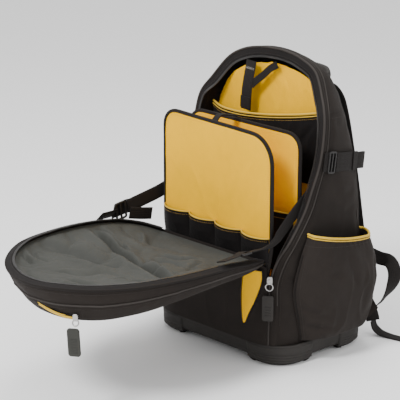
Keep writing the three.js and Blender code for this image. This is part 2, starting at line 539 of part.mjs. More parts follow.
// ---------- side pouches ----------
const POUCH = [ // along the mouth from the front: x y of the mouth, z of the mouth, x y at mid height, x y at the foot
  [163.5, -52, 229, 161, -84, 160, -66],
  [176, -52, 228, 177, -74, 172, -58],
  [189, -34, 224, 195, -42, 187, -34],
  [195, -4, 218, 203, -4, 194, -2],
  [196, 26, 213, 205, 28, 195, 26],
  [193, 56, 209, 204, 58, 193, 52],
  [186, 80, 206, 199, 84, 187, 76],
  [172, 96, 206, 182, 101, 173, 95],
  [151.5, 104.5, 205, 153, 107.5, 152, 107.5],
];
{
  const cols = 16;
  const curve = (f) => smooth(POUCH.map(f), cols);
  const inset = (r) => THREE.MathUtils.clamp((r[5] - 158) / 37, 0, 1);
  const rows = [
    curve((r) => [r[0], r[1], r[2]]),
    curve((r) => [(r[0] * 0.4 + r[3] * 0.6) + 0.5, r[1] * 0.4 + r[4] * 0.6, 185]),
    curve((r) => [r[3], r[4], 135]),
    curve((r) => [(r[3] + r[5]) / 2 + 1, (r[4] + r[6]) / 2, 86]),
    curve((r) => [r[5], r[6], 52]),
    curve((r) => [r[5] - 5 * inset(r), r[6] * 0.97, 43.5]),
    curve((r) => [r[5] - 17 * inset(r), r[6] * 0.93, 42]),
  ];
  add('side_pouch_right', sheet(rows, LINER, 1), BLACK);
  add('side_pouch_left', sheet(mirrorGrid(rows), LINER, -1), BLACK);
  const rim = POUCH.map((r) => [r[0] - 0.9, r[1], r[2] + 2.6]);
  add('side_pouch_right_piping', piping(rim, 18, 2.1), TRIM, 0.7);
  add('side_pouch_left_piping', piping(mirrored(rim), 18, 2.1), TRIM, 0.7);
}

// ---------- compression straps on the sides ----------
// a point of the right side's outer surface, t from rim to back edge, at a height, lifted off it
function onSide(t, z, lift) {
  const at = (i) => section(i, 24);
  let i = 0;
  while (i < SIDE_TOP - 1 && at(i + 1)[Math.round(24 * t)].z < z) i++;
  const a = at(i), b = at(i + 1), j = Math.min(23, Math.floor(24 * t)), f = 24 * t - j;
  const pa = a[j].clone().lerp(a[j + 1], f), pb = b[j].clone().lerp(b[j + 1], f);
  const k = THREE.MathUtils.clamp((z - pa.z) / (pb.z - pa.z), 0, 1);
  const n = new THREE.Vector3().crossVectors(a[j + 1].clone().sub(a[j]), pb.clone().sub(pa)).normalize();
  if (n.x < 0) n.negate();
  return pa.lerp(pb, k).addScaledVector(n, lift);
}
const STRAP_Z = (t) => THREE.MathUtils.lerp(350, 331, t);
for (const [side, s] of [['right', 1], ['left', -1]]) {
  const flip = (p) => [s * p.x, p.y, p.z];
  const path = [0.06, 0.25, 0.45, 0.65, 0.85, 0.97].map((t) => flip(onSide(t, STRAP_Z(t), 3.3)));
  add(`side_strap_${side}`, webbing(path, 10, 33, 2, () => V(0, 0, 1)), DARK);
  const e = onSide(0.99, STRAP_Z(1), 3.6);
  const tail = [[s * (e.x - 0.3), e.y + 2, e.z], [s * (e.x - 1.5), e.y + 13, e.z - 1], [s * (e.x - 4), e.y + 24, e.z - 3]];
  add(`side_strap_${side}_tail`, webbing(tail, 3, 30, 3, () => V(0, 0, 1)), DARK);
  const g = frame(19, 37, 3.2, 3), c = onSide(0.24, STRAP_Z(0.24), 6.6), d = onSide(0.36, STRAP_Z(0.36), 6.6).sub(c).normalize();
  const n = new THREE.Vector3().crossVectors(d, V(0, 0, 1)).normalize(), up = new THREE.Vector3().crossVectors(n, d);
  g.applyMatrix4(new THREE.Matrix4().makeBasis(d, up, n));
  g.translate(c.x, c.y, c.z);
  if (s < 0) g.applyMatrix4(new THREE.Matrix4().makeScale(-1, 1, 1));
  add(`side_strap_${side}_frame`, geometryFromSoup(g), RUBBER, 0.5);
}
function geometryFromSoup(g) {
  // rebuilds a geometry with shared vertices, wound outwards
  const pos = g.getAttribute('position'), key = new Map(), verts = [], tris = [], map = [];
  const src = g.index ? Array.from(g.index.array) : Array.from({ length: pos.count }, (_, i) => i);
  for (let i = 0; i < pos.count; i++) {
    const v = V(pos.getX(i), pos.getY(i), pos.getZ(i)), k = v.toArray().map((q) => q.toFixed(4)).join();
    if (!key.has(k)) { key.set(k, verts.length); verts.push(v); }
    map.push(key.get(k));
  }
  for (let i = 0; i < src.length; i += 3) tris.push([map[src[i]], map[src[i + 1]], map[src[i + 2]]]);
  return geometryFrom(verts, tris);
}

// ---------- harness ----------
for (const [side, s] of [['right', 1], ['left', -1]]) {
  const pad = [[s * 50, 93.5, 450], [s * 52, 104, 444], [s * 56, 114, 425], [s * 63, 120, 390], [s * 74, 124, 330], [s * 84, 128, 270], [s * 92, 132, 215], [s * 98, 134, 180]];
  add(`shoulder_strap_${side}`, webbing(pad, 14, (k) => (k < 0.12 ? 46 + 120 * k : 60 - 14 * Math.max(0, k - 0.6)), (k) => (k < 0.1 ? 6 : 13), () => V(1, 0.12 * s, 0.25 * s)), BLACK);
  const loop = [[s * 101, 136, 166], [s * 125, 145, 150], [s * 150, 152, 142], [s * 172, 153, 141], [s * 184, 151, 132], [s * 188, 150, 117], [s * 180, 150, 92], [s * 167, 146, 69], [s * 160, 142.5, 59]];
  add(`shoulder_webbing_${side}`, webbing(loop, 14, 24, 1.8, (k) => V(s * (0.1 + 0.3 * k), 1, -0.45 + 0.5 * k)), DARK);
  const tab = [[s * 138, 125.5, 62], [s * 143, 131.5, 53], [s * 151, 139, 42]];
  add(`lower_anchor_${side}`, webbing(tab, 4, (k) => 38 - 14 * k, 4, () => V(s * 0.2, 0.35, 1)), DARK);
  const tail = [[s * 155, 141, 30], [s * 158, 143, 16], [s * 166, 147, 5.5], [s * 179, 150, 2.2], [s * 197, 153, 1.3], [s * 219, 158, 1.3]];
  add(`webbing_tail_${side}`, webbing(tail, 12, 22, 1.8, (k) => V(-s * 0.35, 1, k > 0.6 ? 0 : 0.5 * (0.6 - k))), DARK);
}
add('grab_handle', webbing([[-60, 90, 469], [-60, 99, 473.5], [-48, 107, 477], [-22, 111.5, 479], [0, 112.5, 479.5], [22, 111.5, 479], [48, 107, 477], [60, 99, 473.5], [60, 90, 469]], 16, 13, 10, () => V(0, -0.35, 1)), RUBBER, 0.7);

export default pack;
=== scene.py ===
import math
import bpy
import bmesh
import numpy as np
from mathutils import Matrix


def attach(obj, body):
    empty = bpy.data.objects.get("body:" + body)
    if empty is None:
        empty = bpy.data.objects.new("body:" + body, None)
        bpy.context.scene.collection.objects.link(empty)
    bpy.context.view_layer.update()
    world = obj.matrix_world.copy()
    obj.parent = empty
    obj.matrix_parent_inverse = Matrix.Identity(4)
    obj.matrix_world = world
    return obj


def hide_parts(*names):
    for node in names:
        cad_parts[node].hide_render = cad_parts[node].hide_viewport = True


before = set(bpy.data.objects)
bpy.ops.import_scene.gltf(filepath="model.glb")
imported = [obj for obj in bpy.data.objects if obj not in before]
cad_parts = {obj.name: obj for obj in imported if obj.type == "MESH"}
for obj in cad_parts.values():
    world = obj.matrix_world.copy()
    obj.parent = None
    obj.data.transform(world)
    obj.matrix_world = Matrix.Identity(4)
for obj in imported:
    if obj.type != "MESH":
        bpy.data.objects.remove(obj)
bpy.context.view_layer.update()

# Everything below is written in millimetres about the centre of the base, as in the part's own
# tables, and put() moves it into the row frame and into metres.
SHIFT_Y = 179.7

# ------------------------------------------------------------------ camera
AZ, EL, F_PX, DIST = 47.0, 15.5, 1500.0, 2737.2
TARGET = np.array([-120.77, -35.84, 230.36])
a, e = math.radians(AZ), math.radians(EL)
back = np.array([math.sin(a) * math.cos(e), -math.cos(a) * math.cos(e), math.sin(e)])
right = np.array([math.cos(a), math.sin(a), 0.0])
up = np.cross(back, right)
cam_data = bpy.data.cameras.new("camera")
cam_data.sensor_width = 36.0
cam_data.lens = F_PX * 36.0 / 400.0
cam_data.clip_end = 50.0
cam = bpy.data.objects.new("camera", cam_data)
bpy.context.scene.collection.objects.link(cam)
C = TARGET + back * DIST
M = np.eye(4)
M[:3, 0], M[:3, 1], M[:3, 2] = right, up, back
M[:3, 3] = (C + np.array([0, SHIFT_Y, 0])) * 0.001
from mathutils import Matrix
cam.matrix_world = Matrix(M.tolist())
bpy.context.scene.camera = cam

# ------------------------------------------------------------------ small maths
def unit(v):
    v = np.asarray(v, float)
    return v / np.maximum(np.linalg.norm(v, axis=-1, keepdims=True), 1e-9)


def lerp(a, b, t):
    return a + (b - a) * t


def smoothstep(x, a, b):
    t = np.clip((np.asarray(x, float) - a) / (b - a), 0, 1)
    return t * t * (3 - 2 * t)


def bump(x, c, w):
    return np.exp(-(((np.asarray(x, float) - c) / w) ** 2))


def spline(rows, m=20, closed=False):
    """Centripetal Catmull-Rom through rows; distances come from the first three columns. Returns dense rows."""
    P = np.asarray(rows, float)
    n = len(P)
    out = []
    for i in range(n if closed else n - 1):
        p1, p2 = P[i], P[(i + 1) % n]
        p0 = P[i - 1] if (i > 0 or closed) else 2 * p1 - p2
        p3 = P[(i + 2) % n] if (i + 2 < n or closed) else 2 * p2 - p1
        d = [max(np.linalg.norm((b - a)[:3]), 1e-6) ** 0.5 for a, b in ((p0, p1), (p1, p2), (p2, p3))]
        t1 = ((p1 - p0) / d[0] - (p2 - p0) / (d[0] + d[1]) + (p2 - p1) / d[1]) * d[1]
        t2 = ((p2 - p1) / d[1] - (p3 - p1) / (d[1] + d[2]) + (p3 - p2) / d[2]) * d[1]
        for k in range(m):
            s = k / m
            out.append((2 * s**3 - 3 * s**2 + 1) * p1 + (s**3 - 2 * s**2 + s) * t1 + (-2 * s**3 + 3 * s**2) * p2 + (s**3 - s**2) * t2)
    if not closed:
        out.append(P[-1].copy())
    return np.array(out)


def resample(P, n, closed=False):
    """n+1 points at equal arc length (n points if closed)."""
    P = np.asarray(P, float)
    Q = np.vstack([P, P[:1]]) if closed else P
    s = np.concatenate([[0], np.cumsum(np.linalg.norm(np.diff(Q[:, :3], axis=0), axis=1))])
    t = np.linspace(0, s[-1], n + 1)
    if closed:
        t = t[:-1]
    return np.column_stack([np.interp(t, s, Q[:, k]) for k in range(Q.shape[1])])


def smooth(rows, n, closed=False):
    return resample(spline(rows, 20, closed), n, closed)


def mirrored(P):
    Q = np.array(P, float)
    Q[..., 0] *= -1
    return Q


_rng = np.random.RandomState(7)
_perm = _rng.permutation(256)
_perm = np.concatenate([_perm, _perm, _perm])
_grad = unit(_rng.normal(size=(256, 3)))


def noise(P, scale, seed=0):
    """Gradient noise, about -1..1, of points in millimetres; scale is one number or three, the size of a feature."""
    Q = np.asarray(P, float).reshape(-1, 3) / np.asarray(scale, float) + seed * 17.31
    I = np.floor(Q).astype(int)
    f = Q - I
    w = f * f * f * (f * (f * 6 - 15) + 10)
    tot = np.zeros(len(Q))
    for dx in (0, 1):
        for dy in (0, 1):
            for dz in (0, 1):
                h = _perm[(_perm[(_perm[(I[:, 0] + dx) & 255] + I[:, 1] + dy) & 255] + I[:, 2] + dz) & 255]
                g = np.einsum("ij,ij->i", _grad[h], f - np.array([dx, dy, dz]))
                wx = w[:, 0] if dx else 1 - w[:, 0]
                wy = w[:, 1] if dy else 1 - w[:, 1]
                wz = w[:, 2] if dz else 1 - w[:, 2]
                tot += g * wx * wy * wz
    return (tot * 1.8).reshape(np.asarray(P).shape[:-1])


def ridged(P, scale, seed=0):
    """Sharp creases between soft facets, 0..1, 1 on the crease."""
    return 1 - np.minimum(1, np.abs(noise(P, scale, seed)) * 1.9)


def seg_dist(P, line):
    """Distance of each point to a polyline, the share along it, and the signed side in plan."""
    P = np.asarray(P, float)
    sh = P.shape[:-1]
    Q = P.reshape(-1, 3)
    L = np.asarray(line, float)
    best = np.full(len(Q), 1e9)
    along = np.zeros(len(Q))
    n = len(L) - 1
    for i in range(n):
        d = L[i + 1] - L[i]
        t = np.clip(((Q - L[i]) @ d) / max(d @ d, 1e-9), 0, 1)
        dist = np.linalg.norm(Q - L[i] - t[:, None] * d, axis=1)
        k = dist < best
        best[k] = dist[k]
        along[k] = (i + t[k]) / n
    return best.reshape(sh), along.reshape(sh)


def crease(P, line, width, depth, lip=0.35):
    """A fold line: a narrow valley with a soft lip on both sides, fading at its ends."""
    d, t = seg_dist(P, line)
    fade = np.clip(np.minimum(t, 1 - t) * 5 + 0.15, 0, 1)
    return fade * depth * (-np.exp(-((d / width) ** 2)) + lip * np.exp(-(((d - 2.1 * width) / (1.5 * width)) ** 2)))


# ------------------------------------------------------------------ materials
def node_material(name, base, vary=0.1, rough=0.85, rough_vary=0.06, spec=0.3, metal=0.0, sheen=0.0, sheen_tint=(1, 1, 1),
                  weave=None, weave_height=0.00012, grain=None, grain_height=0.0001, coat=0.0, mottle=9.0, streak=None, dust=0.0):
    m = bpy.data.materials.new(name)
    m.use_nodes = True
    N, L = m.node_tree.nodes, m.node_tree.links
    N.clear()
    out = N.new("ShaderNodeOutputMaterial")
    b = N.new("ShaderNodeBsdfPrincipled")
    L.new(b.outputs[0], out.inputs[0])
    b.inputs["Metallic"].default_value = metal
    b.inputs["Specular IOR Level"].default_value = spec
    b.inputs["Sheen Weight"].default_value = sheen
    b.inputs["Sheen Roughness"].default_value = 0.45
    b.inputs["Sheen Tint"].default_value = (*sheen_tint, 1)
    b.inputs["Coat Weight"].default_value = coat
    b.inputs["Coat Roughness"].default_value = 0.25
    tc = N.new("ShaderNodeTexCoord")

    def math_node(op, *v):
        n = N.new("ShaderNodeMath")
        n.operation = op
        for k, x in enumerate(v):
            if isinstance(x, (int, float)):
                n.inputs[k].default_value = x
            else:
                L.new(x, n.inputs[k])
        return n.outputs[0]

    def tex(scale, detail=3.0, rough_=0.55, vec=None):
        n = N.new("ShaderNodeTexNoise")
        n.inputs["Scale"].default_value = scale
        n.inputs["Detail"].default_value = detail
        n.inputs["Roughness"].default_value = rough_
        L.new(vec if vec is not None else tc.outputs["Object"], n.inputs["Vector"])
        return n.outputs["Fac"]

    big, mid, fine = tex(mottle, 4.0), tex(70.0, 3.0), tex(900.0, 2.0)
    mix = math_node("ADD", math_node("MULTIPLY", big, 0.5), math_node("ADD", math_node("MULTIPLY", mid, 0.28), math_node("MULTIPLY", fine, 0.22)))
    ramp = N.new("ShaderNodeValToRGB")
    ramp.color_ramp.elements[0].position, ramp.color_ramp.elements[1].position = 0.32, 0.68
    ramp.color_ramp.elements[0].color = tuple(c * (1 - vary) for c in base) + (1,)
    ramp.color_ramp.elements[1].color = tuple(min(1, c * (1 + vary)) for c in base) + (1,)
    L.new(mix, ramp.inputs["Fac"])
    color = ramp.outputs["Color"]
    height = None
    if weave:
        kind, pu, pv = weave
        sep = N.new("ShaderNodeSeparateXYZ")
        L.new(tc.outputs["UV"], sep.inputs[0])
        u, v = sep.outputs[0], sep.outputs[1]
        if kind == "plain":
            s = math_node("SINE", math_node("MULTIPLY", u, 2 * math.pi / pu))
            t = math_node("SINE", math_node("MULTIPLY", v, 2 * math.pi / pv))
            height = math_node("MULTIPLY", s, t)
        elif kind == "rib":          # webbing: ribs along, each broken by the weft
            s = math_node("SINE", math_node("MULTIPLY", u, 2 * math.pi / pu))
            tri = math_node("PINGPONG", math_node("MULTIPLY", u, 0.6), pu * 0.6)
            t = math_node("SINE", math_node("MULTIPLY", math_node("ADD", v, tri), 2 * math.pi / pv))
            height = math_node("ADD", math_node("MULTIPLY", s, 0.55), math_node("MULTIPLY", t, 0.45))
        elif kind == "cross":        # ribs across, such as a zip tape or grosgrain
            height = math_node("SINE", math_node("MULTIPLY", v, 2 * math.pi / pv))
        elif kind == "twill":
            d1 = math_node("ADD", math_node("MULTIPLY", u, 2 * math.pi / pu), math_node("MULTIPLY", v, 2 * math.pi / pv))
            height = math_node("SINE", d1)
        # painted shade: the colour is darkened in the valleys of the weave, where their own shadow falls
        shade = math_node("ADD", math_node("MULTIPLY", height, 0.06), 0.97)
        hsv = N.new("ShaderNodeHueSaturation")
        L.new(color, hsv.inputs["Color"])
        L.new(shade, hsv.inputs["Value"])
        color = hsv.outputs["Color"]
    if dust:
        geo = N.new("ShaderNodeNewGeometry")
        sepn = N.new("ShaderNodeSeparateXYZ")
        L.new(geo.outputs["Normal"], sepn.inputs[0])
        amount = math_node("MULTIPLY", math_node("MULTIPLY", math_node("MAXIMUM", sepn.outputs[2], 0.0), big), dust)
        mx = N.new("ShaderNodeMixRGB")
        mx.inputs["Color2"].default_value = (0.42, 0.4, 0.37, 1)
        L.new(amount, mx.inputs["Fac"])
        L.new(color, mx.inputs["Color1"])
        color = mx.outputs["Color"]
    L.new(color, b.inputs["Base Color"])
    rr = math_node("ADD", math_node("MULTIPLY", mid, rough_vary * 2), rough - rough_vary)
    L.new(rr, b.inputs["Roughness"])
    last = None
    if height is not None:
        bp = N.new("ShaderNodeBump")
        bp.inputs["Strength"].default_value = 0.6
        bp.inputs["Distance"].default_value = weave_height
        L.new(height, bp.inputs["Height"])
        last = bp.outputs["Normal"]
    if grain:
        g = tex(grain, 4.0, 0.6)
        bp = N.new("ShaderNodeBump")
        bp.inputs["Strength"].default_value = 0.5
        bp.inputs["Distance"].default_value = grain_height
        L.new(g, bp.inputs["Height"])
        if last is not None:
            L.new(last, bp.inputs["Normal"])
        last = bp.outputs["Normal"]
    if last is not None:
        L.new(last, b.inputs["Normal"])
    return m


MAT = {
    "shell": node_material("shell_fabric", (0.0175, 0.0140, 0.0122), 0.22, 0.88, spec=0.13, sheen=0.03, sheen_tint=(0.75, 0.7, 0.66), weave=("plain", 0.0013, 0.0013), grain=420, grain_height=0.00025),
    "shell_inner": node_material("inner_fabric", (0.010, 0.0085, 0.008), 0.12, 0.85, spec=0.12, weave=("plain", 0.0011, 0.0011), grain=300),
    "pouch": node_material("pouch_fabric", (0.0195, 0.0155, 0.0135), 0.22, 0.86, spec=0.14, sheen=0.03, sheen_tint=(0.75, 0.7, 0.66), weave=("plain", 0.0014, 0.0014), grain=380, grain_height=0.0003),
    "dark": node_material("dark_pocket_cloth", (0.008, 0.0068, 0.0068), 0.15, 0.85, spec=0.12, sheen=0.01, weave=("plain", 0.0011, 0.0011), grain=350),
    "webbing": node_material("webbing", (0.0125, 0.0105, 0.0098), 0.18, 0.8, spec=0.16, sheen=0.02, sheen_tint=(0.8, 0.76, 0.72), weave=("rib", 0.0032, 0.0022), weave_height=0.0004, grain=700),
    "binding": node_material("binding_tape", (0.0105, 0.0082, 0.0072), 0.15, 0.75, spec=0.16, sheen=0.01, weave=("cross", 0.002, 0.0014), weave_height=0.0003),
    "ziptape": node_material("zip_tape", (0.0115, 0.0098, 0.0095), 0.16, 0.78, spec=0.16, sheen=0.01, weave=("cross", 0.002, 0.0016), weave_height=0.0003),
    "lining": node_material("grey_nylon", (0.048, 0.049, 0.044), 0.14, 0.66, spec=0.12, sheen=0.02, weave=("plain", 0.0009, 0.0009), weave_height=0.00006, grain=60, grain_height=0.0012, mottle=14),
    "yellow": node_material("yellow_cloth", (0.88, 0.465, 0.0), 0.06, 0.85, spec=0.06, sheen=0.0, sheen_tint=(1, 0.9, 0.7), weave=("plain", 0.0012, 0.0012), grain=150, grain_height=0.0003),
    "piping": node_material("yellow_piping", (0.60, 0.38, 0.035), 0.12, 0.6, spec=0.3, weave=("twill", 0.003, 0.003), weave_height=0.0003),
    "welt": node_material("seam_welt", (0.034, 0.029, 0.026), 0.14, 0.7, spec=0.2, weave=("twill", 0.002, 0.002), weave_height=0.0002),
    "rubber": node_material("moulded_rubber", (0.0265, 0.0238, 0.0218), 0.14, 0.66, spec=0.2, grain=900, grain_height=0.0002, mottle=20, dust=0.02),
    "pull": node_material("pull_rubber", (0.030, 0.030, 0.026), 0.1, 0.62, spec=0.24, grain=700, grain_height=0.0002),
    "plastic": node_material("buckle_plastic", (0.013, 0.0115, 0.011), 0.1, 0.45, spec=0.3, grain=1200, grain_height=0.00006),
    "metal": node_material("nickel", (0.42, 0.41, 0.40), 0.08, 0.38, metal=1.0, spec=0.5, grain=300, grain_height=0.00003),
    "teeth": node_material("zip_teeth", (0.030, 0.028, 0.027), 0.1, 0.4, spec=0.5),
    "thread_dark": node_material("thread_dark", (0.034, 0.029, 0.026), 0.15, 0.65, spec=0.3, grain=2500),
    "thread_light": node_material("thread_light", (0.45, 0.42, 0.38), 0.12, 0.65, spec=0.3, grain=2500),
    "thread_yellow": node_material("thread_yellow", (0.62, 0.36, 0.06), 0.15, 0.65, spec=0.3, grain=2500),
    "mesh_pad": node_material("air_mesh", (0.009, 0.0085, 0.008), 0.2, 0.9, spec=0.2, sheen=0.1, weave=("plain", 0.0042, 0.0036), weave_height=0.0012),
}

# ------------------------------------------------------------------ mesh building
def put(name, V, F, UV, mat, slot, replaces=(), closed=True, smooth_shade=True):
    V = np.asarray(V, float).reshape(-1, 3)
    W = np.column_stack([V[:, 0], V[:, 1] + SHIFT_Y, V[:, 2]]) * 0.001
    me = bpy.data.meshes.new(name)
    me.from_pydata(W.tolist(), [], [list(map(int, f)) for f in F])
    lay = me.uv_layers.new(name="UVMap")
    flat = np.concatenate([np.asarray(u, float).reshape(-1, 2) for u in UV]) * 0.001
    lay.data.foreach_set("uv", flat.ravel())
    me.polygons.foreach_set("use_smooth", [smooth_shade] * len(me.polygons))
    me.materials.append(MAT[mat])
    o = bpy.data.objects.new(name, me)
    bpy.context.scene.collection.objects.link(o)
    if closed:
        bm = bmesh.new()
        bm.from_mesh(me)
        bmesh.ops.recalc_face_normals(bm, faces=bm.faces)
        bm.to_mesh(me)
        bm.free()
    if smooth_shade:
        me.set_sharp_from_angle(angle=1.0)
    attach(o, "root")
    if replaces:
        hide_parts(*replaces)
    return o


def normals(P, wrap=False):
    if wrap:
        du = np.roll(P, -1, axis=1) - np.roll(P, 1, axis=1)
    else:
        du = np.gradient(P, axis=1)
    dv = np.gradient(P, axis=0)
    return unit(np.cross(du, dv))


def uv_axes(P, wrap=False):
    Q = np.concatenate([P, P[:, :1]], axis=1) if wrap else P
    u = np.concatenate([[0], np.cumsum(np.linalg.norm(np.diff(Q, axis=1), axis=2).mean(axis=0))])
    v = np.concatenate([[0], np.cumsum(np.linalg.norm(np.diff(P, axis=0), axis=2).mean(axis=1))])
    return u, v


def thick(P, t, sign=1, wrap=False, taper=None):
    """Closed sheet from a grid of points: rows by columns by 3; thickened along sign times its normal."""
    P = np.asarray(P, float)
    R, Cn = P.shape[:2]
    n = normals(P, wrap)
    tt = t if taper is None else t * taper[..., None]
    Q = P + n * tt * sign
    V = np.concatenate([P.reshape(-1, 3), Q.reshape(-1, 3)])
    J = Cn if wrap else Cn - 1
    i, j = np.meshgrid(np.arange(R - 1), np.arange(J), indexing="ij")
    i, j = i.ravel(), j.ravel()
    j1 = (j + 1) % Cn
    u, v = uv_axes(P, wrap)
    A = np.stack([i * Cn + j, i * Cn + j1, (i + 1) * Cn + j1, (i + 1) * Cn + j], -1)
    UVa = np.stack([np.stack([u[j], v[i]], -1), np.stack([u[j + 1], v[i]], -1), np.stack([u[j + 1], v[i + 1]], -1), np.stack([u[j], v[i + 1]], -1)], 1)
    F = [A, (A + R * Cn)[:, ::-1]]
    UV = [UVa, UVa[:, ::-1]]
    off = R * Cn
    def strip(ids, uu):
        a, b = ids[:-1], ids[1:]
        F.append(np.stack([a, b, b + off, a + off], -1))
        z = np.zeros_like(uu[:-1])
        UV.append(np.stack([np.stack([uu[:-1], z], -1), np.stack([uu[1:], z], -1), np.stack([uu[1:], z + t], -1), np.stack([uu[:-1], z + t], -1)], 1))
    js = np.arange(Cn + 1) % Cn if wrap else np.arange(Cn)
    strip(js, u[: len(js)])
    strip((R - 1) * Cn + js, u[: len(js)])
    if not wrap:
        ii = np.arange(R)
        strip(ii * Cn, v)
        strip(ii * Cn + Cn - 1, v)
    return V, np.concatenate(F), list(np.concatenate(UV))


def frames(P, side=None, closed=False):
    """Tangent, width and normal directions along a path. side: function of share along, or None to carry one along."""
    P = np.asarray(P, float)
    T = unit(np.roll(P, -1, 0) - np.roll(P, 1, 0)) if closed else unit(np.gradient(P, axis=0))
    if side is not None:
        S = np.array([side(k) for k in np.linspace(0, 1, len(P))], float)
        W = unit(S - np.sum(S * T, 1, keepdims=True) * T)
    else:
        W = np.zeros_like(T)
        s = np.array([0, 0, 1.0]) if abs(T[0, 2]) < 0.9 else np.array([1.0, 0, 0])
        for i in range(len(P)):
            s = s - s @ T[i] * T[i]
            s = s / np.linalg.norm(s)
            W[i] = s
    return T, W, np.cross(T, W)


def sweep(P, cross, side=None, closed=False, scale_w=None, scale_t=None, cap=True):
    """Sweeps a closed cross-section, a list of (across, up) in mm, along a path."""
    P = np.asarray(P, float)
    T, W, Nn = frames(P, side, closed)
    n, c = len(P), len(cross)
    X = np.asarray(cross, float)
    sw = np.ones(n) if scale_w is None else np.asarray(scale_w, float)
    st = np.ones(n) if scale_t is None else np.asarray(scale_t, float)
    V = P[:, None] + W[:, None] * (X[None, :, 0, None] * sw[:, None, None]) + Nn[:, None] * (X[None, :, 1, None] * st[:, None, None])
    R = n if closed else n - 1
    i, j = np.meshgrid(np.arange(R), np.arange(c), indexing="ij")
    i, j = i.ravel(), j.ravel()
    i1, j1 = (i + 1) % n, (j + 1) % c
    F = [list(f) for f in np.stack([i * c + j, i * c + j1, i1 * c + j1, i1 * c + j], -1)]
    s = np.concatenate([[0], np.cumsum(np.linalg.norm(np.diff(np.vstack([P, P[:1]]) if closed else P, axis=0), axis=1))])
    g = np.concatenate([[0], np.cumsum(np.linalg.norm(np.diff(np.vstack([X, X[:1]]), axis=0), axis=1))])
    U = np.stack([np.stack([g[j], s[i]], -1), np.stack([g[j + 1], s[i]], -1), np.stack([g[j + 1], s[i + 1]], -1), np.stack([g[j], s[i + 1]], -1)], 1)
    UV = [x for x in U]
    if cap and not closed:
        F.append(list(range(c))[::-1])
        F.append([(n - 1) * c + k for k in range(c)])
        UV.append(X[::-1].copy())
        UV.append(X.copy())
    return V.reshape(-1, 3), F, UV


def circle(r, sides=10, flat=1.0):
    return [(r * math.cos(2 * math.pi * k / sides), r * flat * math.sin(2 * math.pi * k / sides)) for k in range(sides)]


def strap_section(w, t):
    h = w / 2
    xs = [-0.93, -0.6, -0.3, 0, 0.3, 0.6, 0.93]
    return [(-h, 0)] + [(x * h, t / 2) for x in xs] + [(h, 0)] + [(x * h, -t / 2) for x in reversed(xs)]


class Pile:
    """Several meshes gathered into one piece."""
    def __init__(self):
        self.V, self.F, self.UV, self.n = [], [], [], 0

    def add(self, V, F, UV):
        V = np.asarray(V, float).reshape(-1, 3)
        self.V.append(V)
        self.F += [[int(i) + self.n for i in f] for f in F]
        self.UV += [np.asarray(u, float).reshape(-1, 2) for u in UV]
        self.n += len(V)
        return self

    def put(self, name, mat, slot, replaces=(), **k):
        return put(name, np.concatenate(self.V), self.F, self.UV, mat, slot, replaces, **k)


STITCH = {"thread_dark": Pile(), "thread_light": Pile(), "thread_yellow": Pile()}


def stitches(path, normal, pitch=4.2, length=2.7, r=0.42, lift=0.25, thread="thread_dark"):
    """A row of thread stitches along a path, lying on a surface whose normal is given per point or once."""
    P = np.asarray(path, float)
    s = np.concatenate([[0], np.cumsum(np.linalg.norm(np.diff(P, axis=0), axis=1))])
    count = int(s[-1] / pitch)
    if count < 1:
        return
    t = (np.arange(count) + 0.5) * pitch
    Nn = np.broadcast_to(np.asarray(normal, float), P.shape)
    at = lambda A, t: np.column_stack([np.interp(t, s, A[:, k]) for k in range(3)])
    c, nn = at(P, t), unit(at(Nn, t))
    T = unit(at(P, t + 0.8) - at(P, t - 0.8))
    B = np.cross(nn, T)
    c = c + nn * lift
    V = np.stack([c - T * length / 2, c + T * length / 2, c + B * r, c + nn * r, c - B * r, c - nn * r], 1)
    tri = [(0, 2, 3), (0, 3, 4), (0, 4, 5), (0, 5, 2), (1, 3, 2), (1, 4, 3), (1, 5, 4), (1, 2, 5)]
    F = [[k * 6 + q for q in f] for k in range(count) for f in tri]
    STITCH[thread].add(V.reshape(-1, 3), F, [np.zeros((3, 2))] * len(F))


TEETH = Pile()


def coil(path, out, up_, pitch=1.9, r=1.15):
    """Teeth of a coil zip along an edge."""
    P = resample(path, int(np.linalg.norm(np.diff(path, axis=0), axis=1).sum() / pitch))
    T = unit(np.gradient(P, axis=0))
    n = len(P)
    k0 = np.linspace(0, len(out) - 1, n)
    o = unit(np.column_stack([np.interp(k0, np.arange(len(out)), np.asarray(out)[:, q]) for q in range(3)]))
    u = unit(np.column_stack([np.interp(k0, np.arange(len(up_)), np.asarray(up_)[:, q]) for q in range(3)]))
    w, l, h = 0.55, 1.9, r
    V = np.stack([P + T * (sx * w) + o * (l * so) + u * (h * su) for sx in (-1, 1) for so in (-1, 1) for su in (-0.8, 0.8)], 1)
    q = [(0, 1, 3, 2), (4, 6, 7, 5), (0, 4, 5, 1), (2, 3, 7, 6), (0, 2, 6, 4), (1, 5, 7, 3)]
    F = [[k * 8 + i for i in f] for k in range(n) for f in q]
    TEETH.add(V.reshape(-1, 3), F, [np.zeros((4, 2))] * len(F))

